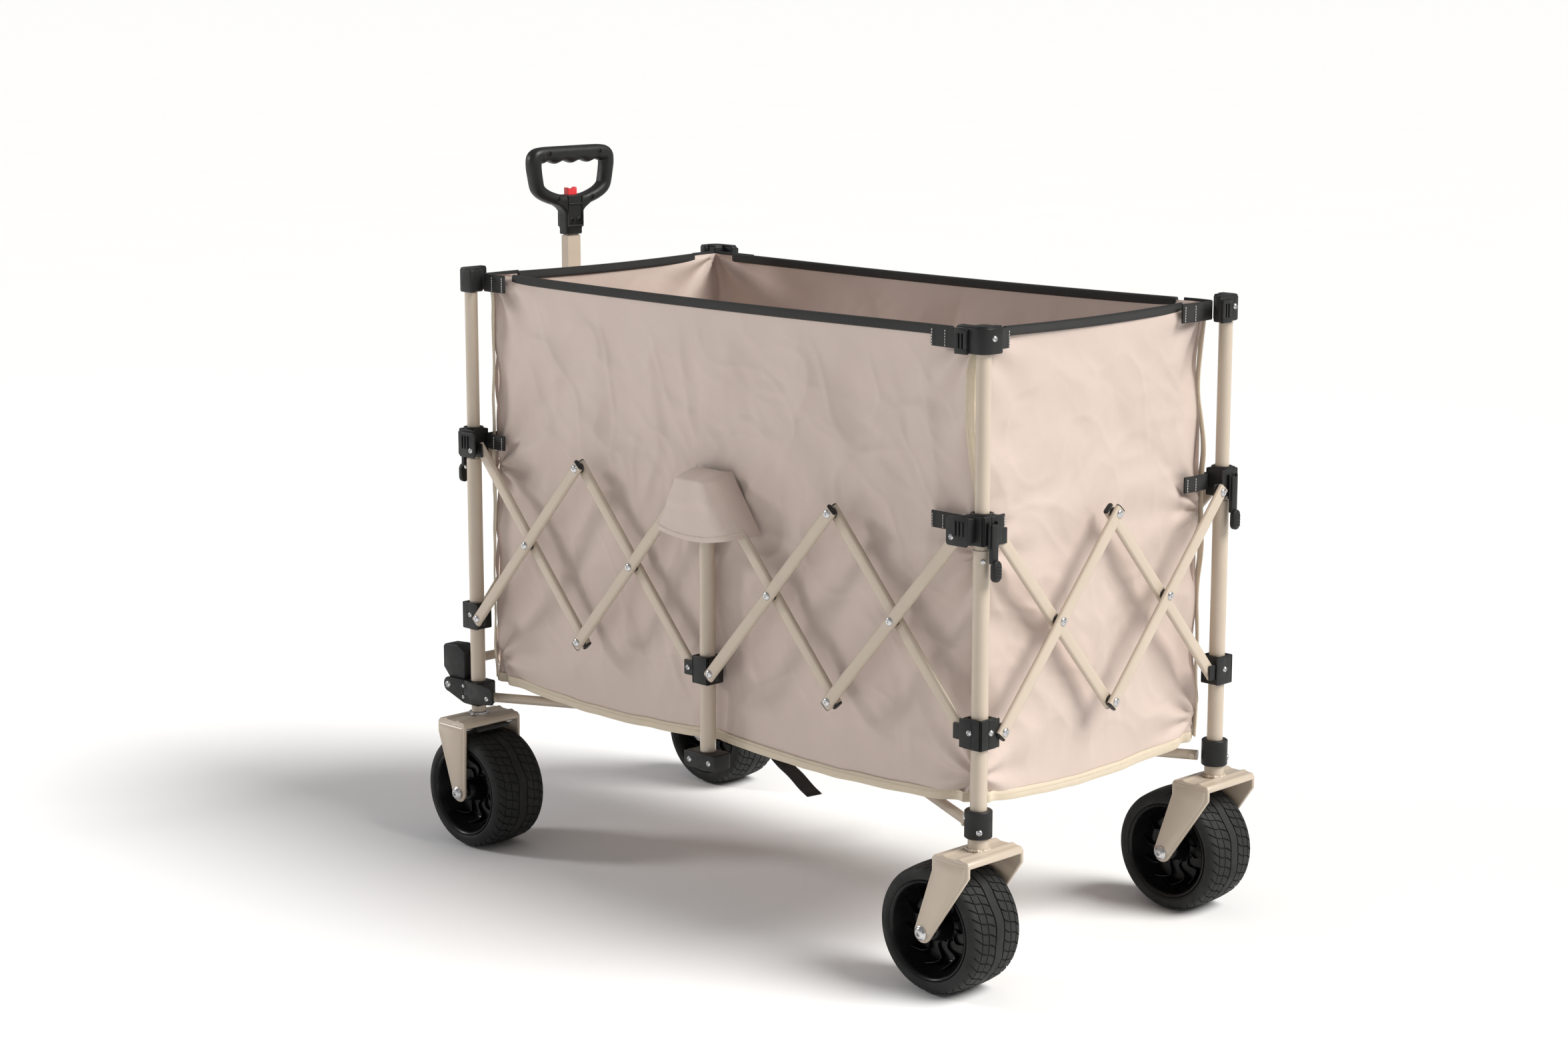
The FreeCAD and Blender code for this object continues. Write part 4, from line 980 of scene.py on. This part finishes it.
def smooth_loop(points, times):
    """Rounds a closed line of points by cutting its corners."""
    for _ in range(times):
        points = [tuple(p * near + q * (1 - near) for p, q in zip(a, b))
                  for a, b in zip(points, points[1:] + points[:1]) for near in (0.75, 0.25)]
    return points


def grip_ring(axis_x):
    path = smooth_loop(GRIP_LINE + [(-y, z, half) for y, z, half in reversed(GRIP_LINE[1:-1])], 3)
    count, around = len(path), 28
    centre = Vector((0.0, 0.978))
    verts = []
    for i, (y, z, half) in enumerate(path):
        before, after = Vector(path[i - 1][:2]), Vector(path[(i + 1) % count][:2])
        ahead = (after - before).normalized()
        inward = Vector((-ahead.y, ahead.x))
        if inward.dot(centre - Vector((y, z))) < 0:
            inward = -inward
        on_top = max(0.0, min(1.0, (z - 1.009) / 0.003)) * max(0.0, min(1.0, (0.060 - abs(y)) / 0.008))
        for j in range(around):
            turn = 2 * math.pi * j / around
            c, s = math.cos(turn), math.sin(turn)
            reach = half * math.copysign(abs(c) ** 0.82, c)
            if c > 0:
                reach += on_top * (0.0021 * math.cos(2 * math.pi * y / FINGER_PITCH)) * c
            thick = GRIP_HALF_THICKNESS * math.copysign(abs(s) ** 0.82, s)
            verts.append(Vector((axis_x + thick, y + inward.x * reach, z + inward.y * reach)))
    return solid(verts, quads(count, around, wrapped=True), PLASTIC)


def screw_recess(x, y, z, side):
    """A raised ring with a screw sunk in it, on the grip's face; the screw's near-black metal is painted
    shade of its hole.
    """
    origin, direction = Vector((x, y, z)), Vector((side, 0, 0))
    shell = lathe(SCREW_RING, PLASTIC, aim(origin, direction), 28)
    # The screw's near-black metal is painted shade inside the hole.
    return join([shell, screw(origin - direction * 0.0002, direction, HOLE_SHADE_SCREW_METAL, 0.0028)])


def grip_face(axis_x, side):
    """What stands out from one face of the grip: the neck's frame, its panel and the screws."""
    def plate(y, z, inside, outside, rounding):
        xs = sorted((face - side * inside, face + side * outside))
        return block((xs[0], y[0], z[0]), (xs[1], y[1], z[1]), rounding)

    face = axis_x + side * 0.0112
    parts = [plate((y0, y1), (z0, z1), 0.002, 0.0020, 0.0009) for y0, y1, z0, z1 in NECK_FRAME]
    parts.append(plate((-0.0135, 0.0135), (0.938, 0.9515), 0.004, 0.0006, 0.0015))
    parts += [screw_recess(face + side * 0.0003, y, 0.913, side) for y in (-0.0070, 0.0070)]
    ring_face = axis_x + side * (GRIP_HALF_THICKNESS - 0.0004)
    for y, z in ((-0.0500, 1.0150), (0.0500, 1.0150), (-0.0340, 0.9465), (0.0340, 0.9465)):
        parts.append(screw_recess(ring_face, y, z, side))
    return parts


def make_handle():
    low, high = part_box("grip")
    axis_x = (low.x + high.x) / 2
    neck = []
    for z, half_y, half_x in GRIP_NECK:
        outline = rounded_rectangle(half_x, half_y, min(half_x, half_y) * 0.5, 6)
        neck.append([Vector((axis_x + x, y, z)) for x, y in outline])
    parts = [grip_ring(axis_x), loft(neck, PLASTIC)] + grip_face(axis_x, -1) + grip_face(axis_x, 1)
    place(join(parts), "grip_looks", BODY_OF["grip"], "black_plastic", "grip")
    low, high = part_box("release_button")
    half, reach = 0.0088, 0.0052
    dip = [(half - 2 * half * i / 12, high.z - 0.0030 * math.sin(math.pi * i / 12) ** 0.8) for i in range(13)]
    matrix = frame_matrix(Vector((axis_x, 0, 0)), Vector((0, 1, 0)), UP)
    button = prism([(-half, low.z), (half, low.z)] + dip, (-reach, reach), RED, matrix, 0.0012)
    place(button, "release_button_looks", "release_button", "button_red", "release_button")
    for node, width in (("handle_outer_tube", 0.0028), ("handle_inner_tube", 0.0022)):
        modifier = NODES[node].modifiers.new("rounding", "BEVEL")
        modifier.width = width
        modifier.segments = 3
        modifier.angle_limit = math.radians(40)
    base = softened("handle_base", PLASTIC, 0.0016)
    place(base, "handle_base_looks", BODY_OF["handle_base"], "black_plastic", "handle_base")


# ---------------------------------------------------------------- bag

# How far the front posts come back, and the right posts come in, at the fold's limit.
FOLD_TRAVEL_X = 0.62097
FOLD_TRAVEL_Y = 0.31048
SEAM_GAP = 0.006
FLOOR_GAP = SEAM_GAP + 0.004
BINDING_HALF = 0.0066
BINDING_START = 0.045
BAG_CORNERS = {
    name: Vector((BAG_LOW.x + SEAM_GAP if name.startswith("rear") else BAG_HIGH.x - SEAM_GAP,
                  BAG_HIGH.y - SEAM_GAP if name.endswith("left") else BAG_LOW.y + SEAM_GAP, 0))
    for name in CORNERS
}
# The share of a long and of a wide wall that is left at the fold's limit.
LONG_KEEP = 1 - FOLD_TRAVEL_X / (BAG_CORNERS["front_left"].x - BAG_CORNERS["rear_left"].x)
WIDE_KEEP = 1 - FOLD_TRAVEL_Y / (BAG_CORNERS["rear_left"].y - BAG_CORNERS["rear_right"].y)
# Each wall's ends, its outward direction, the corner that carries it, and the seed of its creases.
WALLS = {
    "left": ("rear_left", "front_left", (0, 1, 0), "rear_left", 3.1),
    "right": ("front_right", "rear_right", (0, -1, 0), "rear_right", 11.7),
    "rear": ("rear_right", "rear_left", (-1, 0, 0), "rear_left", 23.9),
    "front": ("front_left", "front_right", (1, 0, 0), "front_left", 37.3),
}
# How far each sewn corner leans in above the middle brackets, along the cart and across it.
CORNER_PULLS = {"rear_left": (0.009, -0.012), "front_left": (0.002, 0.003), "rear_right": (0.002, 0.004),
                "front_right": (0.004, -0.003)}
# Where creases fan out from a wall's held points: share along it, share up it, and their turn.
CREASE_POINTS = ((0.0, 1.0, -1), (1.0, 1.0, 1), (0.0, 0.53, -1), (1.0, 0.53, 1), (0.0, 0.05, 1),
                 (1.0, 0.05, -1))


def ease(value, low, high):
    share = min(1.0, max(0.0, (value - low) / (high - low)))
    return share * share * (3 - 2 * share)


def wave(x, y, z):
    return noise.noise(Vector((x, y, z)))


def corner_shift(post, pull, z):
    """How far a sewn corner wanders from its straight line at a height."""
    seed = 4.0 * post.side_x + 9.0 * post.side_y
    free = 1 - ease(z, 0.80, 0.845)
    upper = ease(z, 0.640, 0.735) * (1 - 0.75 * ease(z, 0.80, 0.845))
    return post.toward(pull[0] * upper + 0.0045 * wave(0.4, z * 13, seed) * free,
                       pull[1] * upper + 0.0035 * wave(7.7, z * 17, seed) * free)


class Wall:
    """One side of the bag: s runs along it from 0 to 1, t up it from 0 to 1."""

    def __init__(self, name):
        start, end, outward, home, self.seed = WALLS[name]
        self.name, self.home, self.outward = name, home, Vector(outward)
        self.start, self.end = BAG_CORNERS[start], BAG_CORNERS[end]
        self.posts = [(corner_post(end_name), CORNER_PULLS[end_name]) for end_name in (start, end)]
        self.length = (self.end - self.start).length
        self.long = name in ("left", "right")
        self.low, self.high = BAG_LOW.z + 0.002, BAG_HIGH.z - 0.004

    def sag(self, s):
        """How far the hem hangs below the corners."""
        waves = 2 if self.long else 1
        return 0.012 * abs(math.sin(math.pi * s * waves)) ** 0.8 + 0.004 * math.sin(math.pi * s)

    def corner_pull(self, s, z):
        """The shift of the sewn corner line, fading into the wall."""
        total = Vector((0, 0, 0))
        for (post, pull), share in zip(self.posts, (s, 1 - s)):
            total += corner_shift(post, pull, z) * math.exp(-share * self.length / 0.042)
        return total

    def body(self, d, z):
        """Broad folds, creases and facets at a distance along the wall and a height up it."""
        seed = self.seed
        broad = wave(d * 3.1, z * 2.6, seed)
        folds = wave(d * 9 + z * 3.5, z * 5 - d * 2, seed + 5)
        ridges = wave(d * 17 - z * 9, z * 13 + d * 6, seed + 9)
        crease_a = 1 - abs(wave(d * 6.5 + z * 4.2, z * 6.0 - d * 3.1, seed + 13)) * 4
        crease_b = 1 - abs(wave(d * 9.3 - z * 7.0, z * 5.1 + d * 6.2, seed + 21)) * 5
        fine = max(0.0, crease_a) ** 3 * 0.9 + max(0.0, crease_b) ** 3 * 0.6
        warp = wave(d * 4.0, z * 4.0, seed + 33)
        near = noise.voronoi(Vector((d * 7.5 + z * 3.0 + warp, z * 5.5 - d * 1.6 + warp, seed)))[0]
        small = noise.voronoi(Vector((d * 17 - z * 9 + 2 * warp, z * 12 + d * 5 - warp, seed + 3)))[0]
        facets = min(1.0, (near[1] - near[0]) * 2.2) + 0.42 * min(1.0, (small[1] - small[0]) * 2.0)
        return 0.0075 * broad + 0.0068 * folds + 0.0036 * ridges + 0.0022 * fine - 0.0034 * facets

    def creases(self, s, t):
        """Rays of creases round the points where brackets hold the wall."""
        total = 0.0
        for at, up, turned in CREASE_POINTS:
            x, y = (s - at) * self.length, (t - up) * (self.high - self.low)
            r = math.hypot(x, y)
            fade = math.exp(-r / 0.085) * min(1.0, r / 0.022)
            total += fade * math.sin(math.atan2(y, abs(x) + 1e-6) * 9 + self.seed + turned) * 0.0060
        return total

    def push(self, s, t):
        """How far the cloth stands out from its plane."""
        z = t * (self.high - self.low)
        edge = min(1.0, 14 * s * (1 - s)) * min(1.0, 6 * (1 - t) + 0.04) * min(1.0, 7 * t + 0.15)
        belly = 0.007 * math.sin(math.pi * s) * math.sin(math.pi * min(1.0, t * 1.3)) * (1 - t)
        drawn = -0.004 * math.exp(-((s * (1 - s)) / 0.02) ** 2) * math.sin(math.pi * t)
        near = min(s, 1 - s) * self.length
        pleats = 0.0042 * math.exp(-near / 0.040) * math.sin(z * 46 + near * 60 + self.seed)
        return (edge * (self.body(s * self.length, z) + belly) + self.creases(s, t) + drawn
                + pleats * min(1.0, 5 * (1 - t)))

    def point(self, s, t, out=0.0):
        base = self.start.lerp(self.end, s)
        dip = 0.0035 * math.sin(math.pi * s) * t ** 3
        z = self.low + t * (self.high - self.low) - (1 - t) ** 5 * self.sag(s) - dip
        return Vector((base.x, base.y, z)) + self.corner_pull(s, z) + self.outward * (self.push(s, t) + out)

    def place(self, piece, part, *replaced):
        place(piece, f"bag_{self.name}_{part}", f"{self.home}_corner", "bag_fabric", *replaced)
        axis, keep = ((1, 0, 0), LONG_KEEP) if self.long else ((0, 1, 0), WIDE_KEEP)
        tuple(BAG_CORNERS[self.home])
        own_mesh(piece)
        tuple(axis)
        return piece


def grid_sheet(columns, rows, point, material):
    verts = [point(i / columns, j / rows) for j in range(rows + 1) for i in range(columns + 1)]
    return mesh_piece("sheet", verts, quads(rows + 1, columns + 1, strip=True), material)


def ribbon(path, side_of, half_width, thickness, material):
    """A flat tape along a path, with slightly rounded edges."""
    t = thickness / 2
    outline = [(-half_width, -t * 0.4), (-half_width + t, -t), (half_width - t, -t), (half_width, -t * 0.4),
               (half_width, t * 0.4), (half_width - t, t), (t - half_width, t), (-half_width, t * 0.4)]
    return sweep(path, outline, side_of, material)


def stitches(point_at, length, pitch, radius, material):
    """Short raised threads along a line; point_at gives a place and the way out at a distance along it."""
    verts, faces = [], []
    for i in range(int(length / pitch)):
        start, out = point_at(pitch * (i + 0.18))
        end, _ = point_at(pitch * (i + 0.82))
        side = (end - start).normalized().cross(out).normalized()
        faces += quads(4, 4, len(verts))
        for share, lift in ((0.0, -0.3), (0.25, 0.9), (0.75, 0.9), (1.0, -0.3)):
            middle = start.lerp(end, share) + out * radius * lift
            verts += [middle + side * radius, middle + out * radius * 0.8, middle - side * radius,
                      middle - out * radius * 0.6]
    return solid(verts, faces, material)


def make_walls():
    steps = 150
    for wall in map(Wall, WALLS):
        columns, cloth = (250, FABRIC_LONG) if wall.long else (118, FABRIC_WIDE)
        panel = grid_sheet(columns, 156, wall.point, cloth)
        wall.place(panel, "panel", *(("bag",) if wall.name == "left" else ()))
        path = [wall.point(i / steps, 0.005, 0.0010) + UP * 0.0016 * wave(i / steps * wall.length * 22, 5, 5)
                for i in range(steps + 1)]
        tape = ribbon(path, lambda i: UP, 0.0068, 0.0030, TAPE_CLOTH)
        thread = stitches(lambda d: (wall.point(d / wall.length, 0.0092, 0.0032), wall.outward),
                          wall.length, 0.0052, 0.00036, PALE_THREAD)
        hem = wall.place(join([tape, thread]), "hem")
        start = BINDING_START / wall.length
        path = [wall.point(start + (1 - 2 * start) * i / steps, 1.0) + UP * (0.004 - BINDING_HALF)
                for i in range(steps + 1)]
        binding = sweep(path, stadium(BINDING_HALF - 0.0036, 0.0036, 6), lambda i: UP, BLACK_WEB)
        wall.place(binding, "binding")


def make_seam(name):
    """Woven tape over an upright corner of the bag, wandering a little as sewn tape does."""
    post = corner_post(name)
    steps, low = 90, BAG_LOW.z + 0.002
    length = BAG_HIGH.z - 0.012 - low
    inset = abs(BAG_LOW.x - CORNERS["rear_left"].x) + SEAM_GAP
    path, outs = [], []
    for i in range(steps + 1):
        z = low + length * i / steps
        turn = 0.5 + 0.4 * wave(z * 4.1, 3.3, post.side_x + 2.0 * post.side_y)
        outs.append(post.toward(-turn, turn - 1.3).normalized())
        sewn = post.point(inset, inset, z) + corner_shift(post, CORNER_PULLS[name], z)
        path.append(sewn + outs[-1] * 0.0024)
    across = [UP.cross(out).normalized() for out in outs]

    def thread_point(d, offset):
        share = min(0.9999, d / length) * steps
        i = int(share)
        return path[i].lerp(path[i + 1], share - i) + across[i] * offset + outs[i] * 0.0013, outs[i]

    tape = ribbon(path, lambda i: across[i], 0.0066, 0.0022, TAPE_CLOTH)
    threads = [stitches(lambda d: thread_point(d, offset), length, 0.0046, 0.00030, PALE_THREAD)
               for offset in (0.0048, -0.0048)]
    place(join([tape] + threads), f"bag_seam_{name}", f"{name}_corner", "bag_fabric")


def web_tab(post, along_x, start, end, low, high, plane, seam_gap):
    """A piece of webbing with two cross seams."""
    path = [post.arm_point(along_x, start + (end - start) * i / 8, plane - 0.0014 * math.sin(math.pi * i / 8),
                           (low + high) / 2) for i in range(9)]
    tape = ribbon(path, lambda i: UP, (high - low) / 2, 0.0030, BLACK_WEB)
    out = post.outward(along_x)
    seams = [stitches(lambda z: (post.arm_point(along_x, d, plane - 0.0032, low + 0.001 + z), out),
                      high - low - 0.002, 0.0036, 0.00055, WHITE_THREAD)
             for d in (end - seam_gap, end - 0.003)]
    return [tape] + seams


def make_tabs(name):
    """The webbing at the top and middle brackets, longer on the side of the top bracket's clip."""
    post = corner_post(name)
    for level, start, reaches, short, low, high, plane, seam_gap in (
            ("top", 0.016, (0.098, 0.080), 0.061, 0.8285, 0.8545, 0.0125, 0.025),
            ("middle", 0.0165, (0.094, 0.067), 0.056, 0.5975, 0.6195, 0.0120, 0.021)):
        parts = []
        for along_x, reach in zip((True, False), reaches):
            end = reach if along_x == (post.hand < 0) else short
            parts += web_tab(post, along_x, start, end, low, high, plane, seam_gap)
        place(join(parts), f"webbing_{level}_{name}", f"{name}_corner", "bag_fabric")


def make_floor():
    """The bag's floor, in three boards that slide over each other as the cart folds."""
    third = (BAG_HIGH.x - BAG_LOW.x - 2 * FLOOR_GAP) / 3
    width = BAG_HIGH.y - BAG_LOW.y - 2 * FLOOR_GAP

    def board_point(i, s, t):
        x, y = BAG_LOW.x + FLOOR_GAP + third * (i + s), BAG_LOW.y + FLOOR_GAP + width * t
        return Vector((x, y, BAG_LOW.z + 0.0030 + 0.0016 * i + 0.0005 * wave(x * 9, y * 9, 2.2)))

    boards = (("rear", "rear_left_corner"), ("middle", "middle_slider_left"), ("front", "front_left_corner"))
    for i, (name, body) in enumerate(boards):
        board = grid_sheet(60, 84, lambda s, t: board_point(i, s, t), FABRIC_FLOOR)
        place(board, f"bag_floor_{name}", body, "bag_fabric")
        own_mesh(board)


def make_flap(side, sign, seed):
    """The fabric pocket over the head of a middle post."""
    top, bottom = 0.624, 0.543
    outward = Vector((0, sign, 0))

    def point(s, t, out=0.0):
        x = MIDDLE_X + (0.034 + 0.056 * (1 - t)) * (2 * s - 1)
        z = bottom + (top - bottom) * t - 0.013 * math.sin(math.pi * s) * (1 - t) ** 1.5
        across = abs(2 * s - 1)
        closing = (1 - max(0.0, t - 0.88) / 0.12 * 0.97) ** 0.5
        reach = 0.0475 * (1 - across ** 9) * closing
        crease = 1 - min(1.0, abs(wave(x * 21 + z * 9, z * 12, seed)) * 5)
        fold = 0.0030 * wave(x * 26, z * 26, seed) + 0.0016 * crease
        return Vector((x, sign * (abs(BAG_HIGH.y) + 0.0012 + reach + fold * (1 - across ** 4) + out), z))

    def seam(point_at, length):
        return stitches(lambda d: (point_at(d / length), outward), length, 0.0052, 0.00046, PALE_THREAD)

    flap = grid_sheet(56, 40, point, FABRIC_LONG)
    seams = [seam(lambda share: point(0.02 + 0.96 * share, 0.07, 0.0007), 0.16)]
    seams += [seam(lambda share: point(s, 0.05 + 0.9 * share, 0.0007), 0.09) for s in (0.05, 0.95)]
    body = f"middle_post_{side}"
    thread = place(join(seams), f"flap_stitching_{side}", body, "bag_fabric")
    place(flap, f"flap_{side}", body, "bag_fabric")


def make_strap():
    """The end of the webbing that holds the folded cart together, hanging under the bag."""
    start = Vector((MIDDLE_X - 0.075, 0.205, BAG_LOW.z - 0.006))
    path = [start + Vector((-0.008 * i, 0.0012 * i, -0.0035 * i + 0.0008 * math.sin(i))) for i in range(14)]
    strap = ribbon(path, lambda i: Vector((0.15, 1, 0)).normalized(), 0.0125, 0.0022, BLACK_WEB)
    place(strap, "strap_end", "middle_slider_left", "bag_fabric")


# ---------------------------------------------------------------- everything

make_camera()
make_studio()
for kept in NODES.values():
    kept.data.materials.clear()
    kept.data.materials.append(PAINT)
NODES["floor_hub"].data.materials[0] = PLASTIC
make_wheels()
make_forks()
make_bars()
make_fittings()
make_sliders()
make_middle()
make_handle()
make_walls()
for corner_name in CORNERS:
    make_seam(corner_name)
for corner_name in CORNERS:
    make_tabs(corner_name)
make_floor()
make_flap("left", 1, 3.0)
make_flap("right", -1, 8.0)
make_strap()
